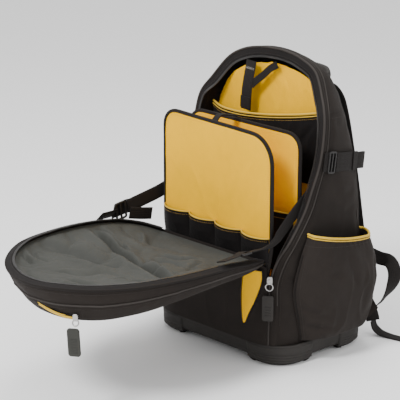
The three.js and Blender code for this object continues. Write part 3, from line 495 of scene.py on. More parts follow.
# ------------------------------------------------------------------ body shell
# one row for each station of the right half: opening rim, back edge, fullness of the section
STATIONS = np.array([
    # xr    yr    zr    xb   yb   zb    k1    o1   k2    o2
    [131, -111, 38.5, 146, 104, 38.5, 0.04, 38, 0.36, 22],
    [133, -112, 75, 148, 105, 75, 0.04, 40, 0.36, 22],
    [134, -112, 112, 149, 104, 112, 0.04, 40, 0.36, 20],
    [134, -111, 150, 149, 102, 150, 0.05, 38, 0.36, 18],
    [139, -98, 188, 149, 99, 186, 0.10, 32, 0.36, 15],
    [152, -83, 221, 148, 97, 218, 0.16, 16, 0.36, 12],
    [156, -54, 266, 147, 95, 258, 0.22, 12, 0.34, 10],
    [158, -38, 304, 144, 92, 300, 0.28, 8, 0.32, 9],
    [158, -21, 344, 139, 88, 341, 0.30, 6, 0.30, 8],
    [157, -12, 385, 131, 84, 380, 0.30, 6, 0.30, 8],
    [151, -4, 424, 121, 80, 415, 0.30, 6, 0.30, 8],
    [134, 8, 452, 109, 78, 445, 0.30, 7, 0.30, 9],
    [104, 22, 491, 90, 76, 470, 0.30, 8, 0.30, 9],
    [68, 24, 509, 58, 74, 487, 0.30, 8, 0.30, 9],
    [34, 26, 516, 29, 73, 495, 0.30, 8, 0.30, 9],
    [0, 26, 518, 0, 72, 498, 0.30, 8, 0.30, 9],
], float)
PER = 14                                   # rows between two stations
left_half = STATIONS[:-1][::-1].copy()
left_half[:, [0, 3]] *= -1
ST = spline(np.vstack([STATIONS, left_half]), PER)      # rows right foot, crown, left foot
NR = len(ST)
mid = (ST[:, 0:3] + ST[:, 3:6]) / 2
tm = unit(np.gradient(mid, axis=0) * [1, 0, 1])
OUT = np.column_stack([tm[:, 2], np.zeros(NR), -tm[:, 0]])
OUT[NR // 2] = [0, 0, 1]
for _ in range(3):
    OUT[1:-1] = unit(OUT[:-2] + 2 * OUT[1:-1] + OUT[2:])


def shell_point(v):
    """Points of the shell at shares v of the section from rim to back edge, for every row."""
    v = np.atleast_1d(v)[None, :, None]
    Fp, B = ST[:, None, 0:3], ST[:, None, 3:6]
    d = B - Fp
    o = OUT[:, None]
    k1, o1, k2, o2 = (ST[:, None, q, None] for q in (6, 7, 8, 9))
    H1 = Fp + d * k1 + o * o1
    H2 = B - d * k2 + o * o2
    return (1 - v) ** 3 * Fp + 3 * (1 - v) ** 2 * v * H1 + 3 * (1 - v) * v**2 * H2 + v**3 * B


NV = 66
vs = np.linspace(0, 1, NV)
P0 = shell_point(vs)
S_ROW = (np.arange(NR) / PER)[:, None] * np.ones((1, NV))      # station number, 0..30
S_HALF = np.minimum(S_ROW, 30 - S_ROW)
Nsh = normals(P0)
flip = np.sign(np.sum(Nsh * OUT[:, None], -1).mean())
Nsh *= flip
arc = np.concatenate([np.zeros((NR, 1)), np.cumsum(np.linalg.norm(np.diff(P0, axis=1), axis=2), axis=1)], axis=1)
arc_b = arc[:, -1:] - arc
disp = np.zeros((NR, NV))
edge = smoothstep(arc, 6, 34) * smoothstep(arc_b, 4, 22)
side_low = smoothstep(P0[..., 2], 330, 60)
# soft long folds of the coated cloth, mostly upright, stronger low down where the bag sits on its base
disp += edge * (1.7 * noise(P0, (70, 55, 150), 1) + 0.9 * noise(P0, (30, 26, 75), 2) * (0.4 + 0.8 * side_low))
disp += edge * 0.9 * (ridged(P0, (62, 50, 110), 3) ** 3) * (0.35 + 0.65 * side_low)
# cinched by the compression strap, full above and below it
strap_z = lambda t: lerp(350.0, 331.0, t)
zc = lerp(350.0, 331.0, vs)[None, :]
on_side = (S_HALF < 10.5)
disp += np.where(on_side, -2.4 * bump(P0[..., 2], zc, 22) + 1.5 * bump(P0[..., 2], zc + 46, 26) + 1.5 * bump(P0[..., 2], zc - 46, 26), 0) * smoothstep(arc, 8, 30) * smoothstep(arc_b, 0, 12)
# slack above the base tray and short tucks along its edge
disp += 2.0 * bump(P0[..., 2], 62, 16) * edge * (0.6 + 0.5 * noise(P0, (34, 34, 400), 5))
disp -= 1.6 * smoothstep(P0[..., 2], 50, 40) * edge
# seam between side and crown
ds = np.abs(S_HALF - 10.0) * 30
disp += edge * (-1.3 * np.exp(-((ds / 2.6) ** 2)) + 0.8 * np.exp(-(((ds - 5.5) / 3.4) ** 2)))
# seam of the zip gusset, one tape's width behind the rim, and the fold that the rim binding pulls
GUSSET = 13.0
disp += -1.1 * np.exp(-(((arc - GUSSET - 2.5) / 1.8) ** 2)) + 0.9 * np.exp(-(((arc - 7) / 5) ** 2)) + 1.2 * smoothstep(arc, GUSSET + 3, GUSSET + 16) * edge
# back edge: seam allowance pulls in short waves
disp += (1 - smoothstep(arc_b, 0, 26)) * (0.9 * noise(P0, (26, 60, 26), 7) - 0.6)
for line, w, dp in [
    ([(158, -64, 136), (160, -38, 112), (162, -14, 92)], 6, 1.4),
    ([(150, -92, 168), (155, -72, 148), (158, -62, 120)], 6, 1.6),
    ([(140, -104, 72), (150, -96, 88), (156, -80, 96)], 5, 1.5),
    ([(160, 6, 292), (160, 40, 282), (155, 74, 286)], 9, 1.8),
    ([(158, 0, 262), (157, 40, 250), (152, 78, 256)], 8, 1.2),
    ([(150, 20, 412), (140, 46, 398), (134, 68, 402)], 8, 1.3),
]:
    L = np.array(line, float)
    disp += edge * (crease(P0, L, w, dp) + crease(P0, mirrored(L) + [0, 3, 4], w, dp * 0.9))
SH = P0 + Nsh * disp[..., None]
V, F, UV = thick(SH, 2.4, -flip)
shell = put("body_shell", V, F, UV, "shell", "shell_fabric", ["side_panel_right", "side_panel_left", "crown_panel"])


def rail(v, lift=0.0, arc_at=None, lo=0, hi=NR):
    """A line along the shell: at one share of the section, or at one distance behind the rim."""
    rows = []
    for i in range(lo, hi):
        if arc_at is None:
            j = v * (NV - 1)
        else:
            j = float(np.interp(arc_at, arc[i], np.arange(NV)))
        k = min(int(j), NV - 2)
        f = j - k
        rows.append(SH[i, k] * (1 - f) + SH[i, k + 1] * f + lift * (Nsh[i, k] * (1 - f) + Nsh[i, k + 1] * f))
    return np.array(rows)


def rail_normal(arc_at, lo=0, hi=NR):
    return np.array([Nsh[i, min(NV - 1, int(np.interp(arc_at, arc[i], np.arange(NV))))] for i in range(lo, hi)])


# ------------------------------------------------------------------ rim: binding, zip tape and coil, gusset welt
rim = SH[:, 0]
rim_T = unit(np.gradient(rim, axis=0))
to_back = unit(SH[:, 2] - SH[:, 0])
rb = unit(to_back - np.sum(to_back * rim_T, 1, keepdims=True) * rim_T)
ro = np.cross(rb, rim_T)
ro *= np.sign(np.sum(ro * OUT, 1, keepdims=True) + 1e-9)
for _ in range(4):
    rb[1:-1] = unit(rb[:-2] + 2 * rb[1:-1] + rb[2:])
    ro[1:-1] = unit(ro[:-2] + 2 * ro[1:-1] + ro[2:])
row_s = np.minimum(np.arange(NR), NR - 1 - np.arange(NR)) / PER
lo3 = 3 * PER
width = np.interp(row_s, [3, 4, 5, 9, 10, 11, 15], [7, 8.5, 10, 10, 12, 16, 16])
tape = []
for k in np.linspace(0, 1, 9):
    wav = 0.5 * noise(rim, 34, 11) * k + 0.35 * math.sin(k * math.pi)
    tape.append(rim - rb * (0.5 + 1.9 * k + wav)[:, None] + ro * (0.4 - (width + 0.4) * k)[:, None])
tape = np.array(tape).transpose(1, 0, 2)[lo3:NR - lo3]
V, F, UV = thick(tape, 1.5, 1)
rimtape = put("rim_zip_band", V, F, UV, "ziptape", "dark_webbing", ["rim_zip_tape"])
sl = slice(lo3, NR - lo3)
coil(tape[:, -1] - rb[sl] * 1.2, -ro[sl], -rb[sl])
stitches(tape[:, 5] - rb[sl] * 1.7, -rb[sl], 3.6, 2.3)

pile = Pile()
V, F, UV = sweep(resample(rim - rb * 0.6 + ro * 0.5, 420), circle(2.0, 10))
pile.add(V, F, UV)
rimpipe = pile.put("rim_piping", "welt", "dark_webbing")
pile = Pile()
g = rail(0, 0.5, GUSSET, PER * 2, NR - PER * 2)
V, F, UV = sweep(resample(g, 360), circle(1.35, 8))
pile.add(V, F, UV)
pile.put("gusset_welt", "welt", "dark_webbing")
lo2, hi2 = PER, NR - PER
stitches(rail(0, 0.2, GUSSET + 5.5, lo2, hi2), rail_normal(GUSSET + 5.5, lo2, hi2), 4.4, 2.9)
stitches(rail(0, 0.2, 5.2, lo2, hi2), rail_normal(5.2, lo2, hi2), 4.0, 2.6)
# crown seam, both sides
for s0 in (10, 20):
    for off in (-4, 4):
        i = int(round(s0 * PER + off * PER / 30))
        q = SH[i, 6:-3]
        stitches(q, Nsh[i, 6:-3], 4.2, 2.8)

# ------------------------------------------------------------------ padded back
BASE = lambda z: np.interp(z, [39, 498], [104, 72])
edge_line = ST[:, 3:6].copy()
edge_line[:, 2] = np.maximum(edge_line[:, 2], 39)
close_n = 60
bottom = np.column_stack([np.linspace(edge_line[-1, 0], edge_line[0, 0], close_n + 2)[1:-1], np.zeros(close_n), np.full(close_n, 39.0)])
loop = np.vstack([edge_line, bottom])
loop = resample(loop, 460, closed=True)
# the padded edge swells and tucks in between its tacks
zz = loop[:, 2]
sgn = np.sign(loop[:, 0])
wave = (1.6 * np.cos(zz * 2 * np.pi / 62.0 + 0.6) + 1.2 * noise(loop, 40, 21)) * smoothstep(zz, 60, 110) * smoothstep(zz, 470, 430)
wave += (-5.5 * bump(zz, 272, 16) + 3.0 * bump(zz, 236, 18)) * (sgn > 0) + -3.0 * bump(zz, 268, 20) * (sgn <= 0)
cen = np.array([0, 0, 255.0])
d2 = loop * [1, 0, 1] - cen
rad = np.linalg.norm(d2, axis=1)
dirn = unit(d2)
inset_y = [(4.0, -14.0), (2.6, -9.0), (1.6, -3.0), (2.0, 0.5), (4.0, 3.6), (7.5, 6.4), (12, 8.6), (18, 10.4), (26, 11.6)]
rings = []
for ins, y in inset_y:
    r = rad - ins + wave * (0.4 if ins > 3.5 and y < -10 else 1.0) * max(0.0, 1 - max(0, ins - 3) / 24)
    p = cen + dirn * r[:, None]
    p[:, 1] = BASE(p[:, 2]) + y
    rings.append(p)
inner0 = rings[-1]
K = 34
for k in range(1, K + 1):
    f = k / K
    p = lerp(inner0, cen + [0, 0, 0], f ** 0.9)
    x, z = p[:, 0], p[:, 2]
    full = 11.6
    # spine channel and cross channels
    ch = -6.5 * np.exp(-((x / 9.0) ** 2)) * smoothstep(z, 60, 95) * smoothstep(z, 470, 440)
    for zc_ in (128, 214, 300, 386):
        ch -= 4.0 * np.exp(-(((z - zc_ + 0.0006 * x * x) / 6.0) ** 2)) * smoothstep(np.abs(x), 4, 16)
    edge_ch = 0
    p = p.copy()
    p[:, 1] = BASE(z) + full + ch * smoothstep(f, 0.0, 0.22) + 0.5 * noise(p, 55, 23)
    rings.append(p)
P = np.array(rings)
front_rings = []
for k in range(8, 0, -1):
    f = k / 8
    p = lerp(rings[0], cen + [0, 0, 0], f)
    p[:, 1] = BASE(p[:, 2]) - 14
    front_rings.append(p)
P = np.array(front_rings + rings)
R_, C_ = P.shape[:2]
i, j = np.meshgrid(np.arange(R_ - 1), np.arange(C_), indexing="ij")
i, j = i.ravel(), j.ravel()
j1 = (j + 1) % C_
Fb = np.stack([i * C_ + j, i * C_ + j1, (i + 1) * C_ + j1, (i + 1) * C_ + j], -1)
Vb = P.reshape(-1, 3)
UVb = [Vb[f][:, [0, 2]] for f in Fb]
back_pad = put("back_pad", Vb, Fb, UVb, "mesh_pad", "shell_fabric", ["back_panel"])
bm = bmesh.new()
bm.from_mesh(back_pad.data)
bmesh.ops.remove_doubles(bm, verts=bm.verts, dist=2e-5)
bmesh.ops.recalc_face_normals(bm, faces=bm.faces)
bm.to_mesh(back_pad.data)
bm.free()
V, F, UV = sweep(resample(P[10], 400, True), circle(1.9, 8), closed=True)
put("back_piping", V, F, UV, "welt", "dark_webbing")

# ------------------------------------------------------------------ base tray
TRAY = dict(w=163, d=115, r=52, top=38, floor=10, wall=3, inset=7, fx=80, fy=32)


def plan(hw, hd, r, z, n=14, dens=10):
    pts = []
    for sx, sy, a0 in ((1, -1, -90), (1, 1, 0), (-1, 1, 90), (-1, -1, 180)):
        for k in range(n + 1):
            t, f, flat = math.radians(a0 + 90 * k / n), k / n, 0.0
            b0, b1 = math.radians(a0), math.radians(a0 + 90)
            cx = lerp(math.cos(t), lerp(math.cos(b0), math.cos(b1), f), flat)
            cy = lerp(math.sin(t), lerp(math.sin(b0), math.sin(b1), f), flat)
            pts.append((sx * (hw - r) + r * cx, sy * (hd - r) + r * cy, z))
    return resample(np.array(pts), 240, True)


T = TRAY
prof = [(T["w"] - 9, T["floor"]), (T["w"] - 4.5, T["floor"] + 0.4), (T["w"] - 2.2, T["floor"] + 2.4), (T["w"] - 1.2, T["floor"] + 8), (T["w"] - 0.4, 24),
        (T["w"], 31.0), (T["w"] + 0.9, 32.2), (T["w"] + 1.4, 34), (T["w"] + 1.3, 36.4), (T["w"] + 0.3, 37.7), (T["w"] - 1.4, 38), (T["w"] - 2.8, 37.4), (T["w"] - 3.2, 30),
        (T["w"] - 4.4, 18), (T["w"] - 6.5, 14.4), (T["w"] - 11, 13)]
rows = []
for wv, z in prof:
    k = T["w"] - wv
    rows.append(plan(T["w"] - k, T["d"] - k, max(6, T["r"] - k), z))
bot = lambda z, n: [lerp(rows[0] if z < 12 else rows[-1], np.array([0, 0, z]), q) for q in n]
grid = list(reversed(bot(T["floor"], [0.25, 0.6, 0.97]))) + rows + bot(13.0, [0.25, 0.6, 0.97])
P = np.array(grid)
R_, C_ = P.shape[:2]
i, j = np.meshgrid(np.arange(R_ - 1), np.arange(C_), indexing="ij")
i, j = i.ravel(), j.ravel()
j1 = (j + 1) % C_
Fb = [list(f) for f in np.stack([i * C_ + j, i * C_ + j1, (i + 1) * C_ + j1, (i + 1) * C_ + j], -1)]
Vb = P.reshape(-1, 3)
Fb.append(list(range(C_))[::-1])
Fb.append([(R_ - 1) * C_ + q for q in range(C_)])
pile = Pile()
pile.add(Vb, Fb, [Vb[f][:, [0, 2]] for f in Fb])
# corner feet: thick blocks that stand a little proud of the wall, ribbed, with rounded lower edges
outline = plan(T["w"] + 2.6, T["d"] + 2.6, T["r"] + 1, 0)
for sx in (-1, 1):
    for sy in (-1, 1):
        sel = outline[(outline[:, 0] * sx > T["fx"]) & (outline[:, 1] * sy > T["fy"])]
        ang = np.arctan2(sel[:, 1] * sy - T["fy"], sel[:, 0] * sx - T["fx"])
        sel = sel[np.argsort(ang)]
        corner = [(sx * (T["w"] + 2.6), sy * T["fy"], 0)]
        arc_pts = np.vstack([[(sx * (T["w"] + 2.6), sy * T["fy"], 0)], sel, [(sx * T["fx"], sy * (T["d"] + 2.6), 0)], [(sx * T["fx"], sy * T["fy"], 0)]])
        ring = resample(arc_pts, 120, True)
        for _ in range(7):
            ring = (np.roll(ring, 1, 0) + 2 * ring + np.roll(ring, -1, 0)) / 4
        t2 = unit(np.roll(ring, -1, 0) - np.roll(ring, 1, 0))
        n2 = np.column_stack([t2[:, 1], -t2[:, 0], np.zeros(len(ring))])
        ctr = ring.mean(0)
        n2 *= np.sign(np.sum(n2 * (ring - ctr), 1).mean())
        lev = [(-17, 0.0), (-13.0, 0.05), (-10.0, 0.9), (-7.4, 2.8), (-4.6, 6.0)]
        for zr in (9.5, 14.5, 19.5):
            lev += [(-2.0 + zr * 0.05, zr - 1.2), (-3.0 + zr * 0.05, zr - 0.2), (-3.0 + zr * 0.05, zr + 0.6), (-2.0 + zr * 0.05, zr + 1.5)]
        lev += [(-0.9, 25), (-0.3, 31), (-0.2, 33), (-0.9, 34.2), (-3.5, 34.9), (-9, 35)]
        rr = []
        for off, z in lev:
            q = ring + n2 * off
            q[:, 2] = z
            rr.append(q)
        P = np.array(rr)
        R_, C_ = P.shape[:2]
        i, j = np.meshgrid(np.arange(R_ - 1), np.arange(C_), indexing="ij")
        i, j = i.ravel(), j.ravel()
        j1 = (j + 1) % C_
        Fb = [list(f) for f in np.stack([i * C_ + j, i * C_ + j1, (i + 1) * C_ + j1, (i + 1) * C_ + j], -1)]
        Fb += [list(range(C_))[::-1], [(R_ - 1) * C_ + q for q in range(C_)]]
        Vb = P.reshape(-1, 3)
        pile.add(Vb, Fb, [Vb[f][:, [0, 2]] for f in Fb])
tray = pile.put("base_pan", "rubber", "moulded_rubber", ["base_tray"])

# ------------------------------------------------------------------ fixed front panel with its crescents
U_ = np.linspace(-1, 1, 90)
Vv = np.linspace(0, 1, 60)
P = np.zeros((60, 90, 3))
for r_, v in enumerate(Vv):
    aa = np.abs(U_)
    top = np.where(aa > 0.9, lerp(183.0, 176.0, (aa - 0.9) / 0.1), 183.0)
    z = lerp(38.5, top, v)
    xe = lerp(130, 133, math.sin(math.pi * v)) - 3 * smoothstep(v, 0.8, 1) - 0.4
    y = -118.3 - 3.2 * math.sin(math.pi * (0.15 + 0.7 * v)) + 6.5 * np.maximum(0, (aa - 0.7) / 0.3) ** 2
    P[r_] = np.column_stack([xe * U_, y, z])
de = smoothstep(np.abs(P[..., 0]), 131, 118) * smoothstep(P[..., 2], 38, 50) * smoothstep(P[..., 2], 183, 172)
P[..., 1] -= de * (0.7 * noise(P, (60, 60, 90), 31) + 0.6 * ridged(P, (48, 48, 80), 32) ** 3)
P[..., 1] -= 0.9 * bump(P[..., 2], 56, 12) * de
V, F, UV = thick(P, 2.4, 1)
put("front_wall", V, F, UV, "shell", "shell_fabric", ["front_panel"])
CRES = np.array([[172, 83, 124], [160, 82, 125], [146, 80, 122.5], [128, 78.5, 116], [108, 78.5, 107], [88, 80, 96], [74, 83, 89.5], [71, 85.2, 87.0]], float)
cz = spline(CRES[:, [1, 2, 0]], 12)
for sgn_, side_name in ((1, "right"), (-1, "left")):
    rows = []
    for xi, xo, z in cz:
        u = np.linspace(0, 1, 16)
        x = lerp(xi, xo, u)
        y = -124.6 - 2.4 * np.sin(np.pi * u) ** 0.7 + 5.0 * np.maximum(0, (x - 91) / 40) ** 2
        rows.append(np.column_stack([x, y, np.full(16, z)]))
    P = np.array(rows)
    P[..., 1] += 0.35 * noise(P, (22, 22, 34), 35) - 0.5 * ridged(P, (20, 20, 40), 36) ** 4 * np.sin(np.pi * np.linspace(0, 1, 16))[None]
    outline_ = np.vstack([P[:, 0], P[-1, 1:-1], P[::-1, -1], P[0, ::-1][1:-1]])
    P[..., 0] *= sgn_
    outline_[:, 0] *= sgn_
    V, F, UV = thick(P, 1.4, 1 if sgn_ > 0 else -1)
    put(f"crescent_{side_name}", V, F, UV, "yellow", "yellow_lining", [f"front_crescent_{side_name}"])
    lp = resample(outline_ + [0, 0.3, 0], 120, True)
    V, F, UV = sweep(lp, circle(1.5, 8), closed=True)
    put(f"crescent_{side_name}_binding", V, F, UV, "binding", "dark_webbing")
    stitches(resample(outline_ * [1, 1, 1] + [0, -0.9, 0], 80), [0, -1, 0], 3.6, 2.2, thread="thread_yellow")

# ------------------------------------------------------------------ rear wall of the main compartment
REAR = np.array([[40, 150], [150, 150], [262, 149], [304, 149], [344, 148], [385, 145], [415, 136], [445, 119], [464, 100], [478, 74], [487, 44], [490.5, 6]], float)
zr = np.concatenate([np.linspace(41, 440, 64), np.linspace(443, 490, 22)])
hw = np.interp(zr, REAR[:, 0], REAR[:, 1])
u = np.linspace(-1, 1, 80)
P = np.stack([hw[:, None] * u[None], np.full((len(zr), 80), 30.0), zr[:, None] * np.ones((1, 80))], -1)
inside = smoothstep(1 - np.abs(u)[None] * np.ones((len(zr), 1)), 0, 0.12)
P[..., 1] -= inside * (1.5 * noise(P, (46, 46, 90), 41) + 1.3 * ridged(P, (34, 34, 85), 42) ** 3 - 0.6)
P[..., 1] -= inside * 1.8 * smoothstep(P[..., 2], 430, 470) * np.abs(np.sin(P[..., 0] / 9.0 + 1.2 * noise(P, 40, 43)))
V, F, UV = thick(P, 2.6, -1)
rear = put("rear_wall", V, F, UV, "yellow", "yellow_lining", ["rear_wall_lining"])


def declare(piece, P, wrap=False, share=None):
    """Measures a sheet's width and length along its own threads; nothing is done with the sizes."""
    Q = np.concatenate([P, P[:, :1]], axis=1) if wrap else P
    w = np.linalg.norm(np.diff(Q, axis=1), axis=2).sum(1)
    l = np.linalg.norm(np.diff(P, axis=0), axis=2).sum(0)
    w, l = (float(np.percentile(w, 75)), float(np.percentile(l, 75))) if not share else (float(w.max()), float(l.max()))


declare(rear, P)

# upper pocket on that wall, with corded mouth
MOUTH = np.array([[-141, 16, 405], [-108, 5, 400], [-55, -3, 400], [0, -4, 404], [55, -2, 411], [108, 5, 420], [141, 16, 427]], float)
mouth = smooth(MOUTH, 110)
ctrl = [mouth + [0, 0, -1.6], mouth * [1, 1, 1] + [0, 1, -40], np.column_stack([mouth[:, 0], lerp(mouth[:, 1], 21, 0.45), mouth[:, 2] - 85]),
        np.column_stack([mouth[:, 0], np.full(len(mouth), 26.4), np.full(len(mouth), 290.0)])]
P = np.array([spline(np.array([c[k] for c in ctrl]), 16) for k in range(len(mouth))]).transpose(1, 0, 2)
fr = np.linspace(0, 1, P.shape[0])[:, None]
sag_ = smoothstep(np.abs(P[..., 0]), 140, 112)
P[..., 1] -= sag_ * (1.7 * noise(P, (44, 40, 60), 45) + 1.5 * ridged(P, (32, 30, 55), 46) ** 3) * smoothstep(fr, 0.0, 0.12) * (1 - 0.7 * smoothstep(fr, 0.8, 1.0))
for line, w, dp in [([(-120, 6, 392), (-80, 2, 360), (-52, 8, 330)], 5, 2.0), ([(118, 6, 402), (92, 4, 372), (70, 8, 340)], 5, 2.0), ([(-20, -4, 396), (4, -2, 372), (36, 0, 352)], 6, 1.4)]:
    P[..., 1] -= crease(P, np.array(line, float), w, dp) * sag_
V, F, UV = thick(P, 1.8, 1)
upocket = put("wall_pocket", V, F, UV, "dark", "dark_webbing", ["upper_pocket"])
declare(upocket, P)
pile = Pile()
V, F, UV = sweep(P[0] + [0, 0.9, 2.4], circle(2.0, 10))
pile.add(V, F, UV)
V, F, UV = sweep(P[0] + [0, -0.6, -2.4], circle(1.0, 8))
pile.add(V, F, UV)
pile.put("wall_pocket_piping", "piping", "yellow_piping", ["upper_pocket_piping"])
stitches(P[3] + [0, -0.2, 0], [0, -1, 0], 3.8, 2.4, thread="thread_yellow")


def strap(name, rows, w, t, side, mat="webbing", slot="dark_webbing", replaces=(), n=90, wave=0.0, seed=3, edge_stitch=False, extra=(), width_fn=None):
    P = smooth(rows, n)
    if wave:
        P = P + np.outer(wave * noise(P, 38, seed) * np.sin(np.linspace(0, math.pi, n + 1)), [0, 0, 1])
    sw = None if width_fn is None else np.array([width_fn(k) for k in np.linspace(0, 1, n + 1)]) / w
    V, F, UV = sweep(P, strap_section(w, t), side, scale_w=sw)
    pile = Pile()
    pile.add(V, F, UV)
    for e_ in extra:
        pile.add(*e_)
    o = pile.put(name, mat, slot, replaces)
    T_, W_, N_ = frames(P, side)
    if edge_stitch:
        for s_ in (-1, 1):
            for up_ in (-1, 1):
                stitches(P + W_ * (s_ * (w / 2 - 2.2)) + N_ * (up_ * t / 2), N_ * up_, 3.6, 2.3, r=0.3)
    return P, T_, W_, N_


def bar_tack(c, T_, W_, N_, width, t=1.0, rows=3, gap=1.4, thread="thread_dark"):
    for k in range(rows):
        o = c + T_ * (k - (rows - 1) / 2) * gap + N_ * t
        stitches(np.array([o - W_ * width / 2, o, o + W_ * width / 2]), N_, 1.9, 1.7, r=0.36, thread=thread)


P, T_, W_, N_ = strap("retainer_webbing", [[-42, 15.5, 492], [-44, 11, 465], [-47, 9, 440], [-50, 9.5, 404]], 25, 2, lambda k: (1, 0, 0), replaces=["retainer_strap"])
sg = np.sign((N_ @ np.array([0, -1.0, 0])).mean())
for i in (14, 84):
    bar_tack(P[i], T_[i], W_[i], N_[i] * sg, 21, 1.0, 3, thread="thread_light" if i == 14 else "thread_dark")
fold = P[66:88] + N_[66:88] * sg * 2.0
V, F, UV = sweep(fold, strap_section(25, 2), lambda k: (1, 0, 0))
put("retainer_fold", V, F, UV, "webbing", "dark_webbing")
strap("retainer_arm", [[-37, 9.6, 449], [-27.5, 11.5, 458], [-12, 14, 470], [4, 16, 484], [18, 18.5, 492]], 13, 1.6, lambda k: (0.3, 0, -1), replaces=["retainer_strap_arm"])

# ------------------------------------------------------------------ divider boards
LOW, LOW_HALF = 44, 124
DIV = {"front": dict(y=-110.2, half=135, tl=413, tr=404, rl=30, rr=52), "back": dict(y=-47, half=138.5, tl=404, tr=399, rl=34, rr=30)}


def board_outline(d):
    pts = [(LOW_HALF, LOW), (LOW_HALF, 150), (d["half"], 206)]
    for cx, cz, r_, a0 in ((d["half"] - d["rr"], d["tr"] - d["rr"], d["rr"], 0), (-d["half"] + d["rl"], d["tl"] - d["rl"], d["rl"], 90)):
        for k in range(17):
            t = math.radians(a0 + 90 * k / 16)
            pts.append((cx + r_ * math.cos(t), cz + r_ * math.sin(t)))
    pts += [(-d["half"], 206), (-LOW_HALF, 150), (-LOW_HALF, LOW)]
    A = resample(np.array([(x, 0, z) for x, z in pts], float), 420)
    for _ in range(10):
        A[1:-1] = (A[:-2] + 2 * A[1:-1] + A[2:]) / 4
    return A


def inset_line(A, d_in, y):
    """The outline moved inwards in its own plane."""
    T = unit(np.gradient(A, axis=0))
    n = np.column_stack([-T[:, 2], np.zeros(len(A)), T[:, 0]])
    n *= np.sign(np.sum(n * (np.array([0, 0, 230.0]) - A), 1).mean())
    Q = A + n * d_in
    Q[:, 1] = y
    return Q


for side_name, d in DIV.items():
    A = board_outline(d)
    A0 = A
    A = inset_line(A, 1.8, 0.0)
    bottom_ = np.column_stack([np.linspace(A[-1, 0], A[0, 0], 92)[1:-1], np.zeros(90), np.full(90, float(LOW))])
    loop = np.vstack([A, bottom_])
    cen_ = np.array([0, 0, 230.0])
    rr = []
    for f in np.concatenate([[0, 0.01, 0.022, 0.036], np.linspace(0.055, 0.994, 17)]):
        rr.append(lerp(loop, cen_, f))
    P = np.array(rr)
    ed = smoothstep(np.linspace(0, 1, P.shape[0])[:, None] * np.ones((1, P.shape[1])), 0.02, 0.2)
    lean = 3.2 * noise(P, (150, 100, 120), 51 + len(side_name)) * ed * smoothstep(P[..., 2], 60, 200)
    P[..., 1] = d["y"] + 0.4 - 1.1 * ed + 0.9 * ed * noise(P, (52, 50, 60), 53) - 0.8 * ed * ridged(P, (40, 40, 60), 54) ** 3 + 0.35 * lean
    V, F, UV = thick(P, 2.6, 1, wrap=True)
    V = np.asarray(V)
    nrm = normals(P, True)[..., 1].mean()
    if nrm < 0:
        V, F, UV = thick(P, 2.6, -1, wrap=True)
    board = put(f"board_{side_name}", V, F, UV, "yellow", "yellow_lining", [f"divider_{side_name}"])
    A = A0
    b_path = inset_line(A, 2.5, d["y"] + 1.5)
    b_path[:, 1] += 0.25 * noise(b_path, 30, 55)
    sec = [(3.3 * math.copysign(abs(math.cos(t)) ** 0.6, math.cos(t)), 3.0 * math.copysign(abs(math.sin(t)) ** 0.75, math.sin(t))) for t in np.linspace(0, 2 * math.pi, 16, endpoint=False)]
    V, F, UV = sweep(b_path, sec, lambda k: (0, 1, 0))
    put(f"board_{side_name}_binding", V, F, UV, "binding", "dark_webbing", [f"divider_{side_name}_binding"])
    inn = inset_line(A, 9.0, d["y"] - 1.3)
    stitches(inn[10:-10], [0, -1, 0], 3.8, 2.4, thread="thread_yellow")
    st = inset_line(A, 3.2, d["y"] - 1.95)
    stitches(st[10:-10], [0, -1, 0], 3.6, 2.3, thread="thread_dark")
# dark facing below the front row of pockets
zz_ = np.linspace(46, 191, 20)
hw_ = np.interp(zz_, [44, 150, 206], [124, 124, 135]) - 2.6
P = np.stack([hw_[:, None] * np.linspace(-1, 1, 30)[None], np.full((20, 30), DIV["front"]["y"] - 1.9), zz_[:, None] * np.ones((1, 30))], -1)
P[..., 1] -= 0.5 * noise(P, (40, 40, 50), 57)
V, F, UV = thick(P, 0.9, -1)
facing = put("board_front_facing", V, F, UV, "dark", "dark_webbing")
declare(facing, P)
strap("board_link", [[-12, -105.6, 404], [-12, -92, 414.5], [-12, -70, 411.5], [-12, -48.8, 407.2]], 14, 2, lambda k: (1, 0, 0), replaces=["divider_link_tab"], edge_stitch=True)

# rows of pleated tool pockets on the boards
for pname, nodes, count, x0, x1, mz, low, depth, by in [
    ("pockets_front", ["divider_pockets_upper"], 4, -130.5, 130.5, 231, 186, 16, DIV["front"]["y"]),
    ("pockets_back", ["divider_back_pockets"], 3, -126, 126, 262, 150, 15, DIV["back"]["y"]),
]:
    cols, rws = count * 34 + 1, 40
    u = np.linspace(0, 1, cols)
    belly = np.abs(np.sin(math.pi * count * u)) ** 0.7
    zt = mz + 5 * (0.5 - u) * 2
    P = np.zeros((rws, cols, 3))
    for k, v in enumerate(np.linspace(0, 1, rws)):
        fade = np.interp(v, [0, 0.45, 1], [1, 0.85, 0.2])
        P[k] = np.column_stack([lerp(x0, x1, u), by - 2.4 - depth * belly * fade, lerp(zt, low, v)])
    P[..., 1] -= belly[None] * (0.8 * noise(P, (22, 22, 34), 61) + 0.9 * ridged(P, (18, 20, 40), 62) ** 3) * np.linspace(0.1, 1, rws)[:, None]
    V, F, UV = thick(P, 1.5, 1)
    o = put(pname, V, F, UV, "dark", "dark_webbing", nodes)
    declare(o, P)
    pile = Pile()
    V, F, UV = sweep(resample(P[0] + [0, 0.75, 1.5], 260), circle(1.35, 8))
    pile.add(V, F, UV)
    pile.put(pname + "_trim", "piping", "yellow_piping", [nodes[0] + "_trim"])
    stitches(resample(P[3] + [0, -0.15, 0], 260), [0, -1, 0], 3.6, 2.2, thread="thread_yellow")
    for k in range(1, count):
        j = k * 34
        stitches(P[2:-1, j] + [0, -0.2, 0], [0, -1, 0], 3.4, 2.2)

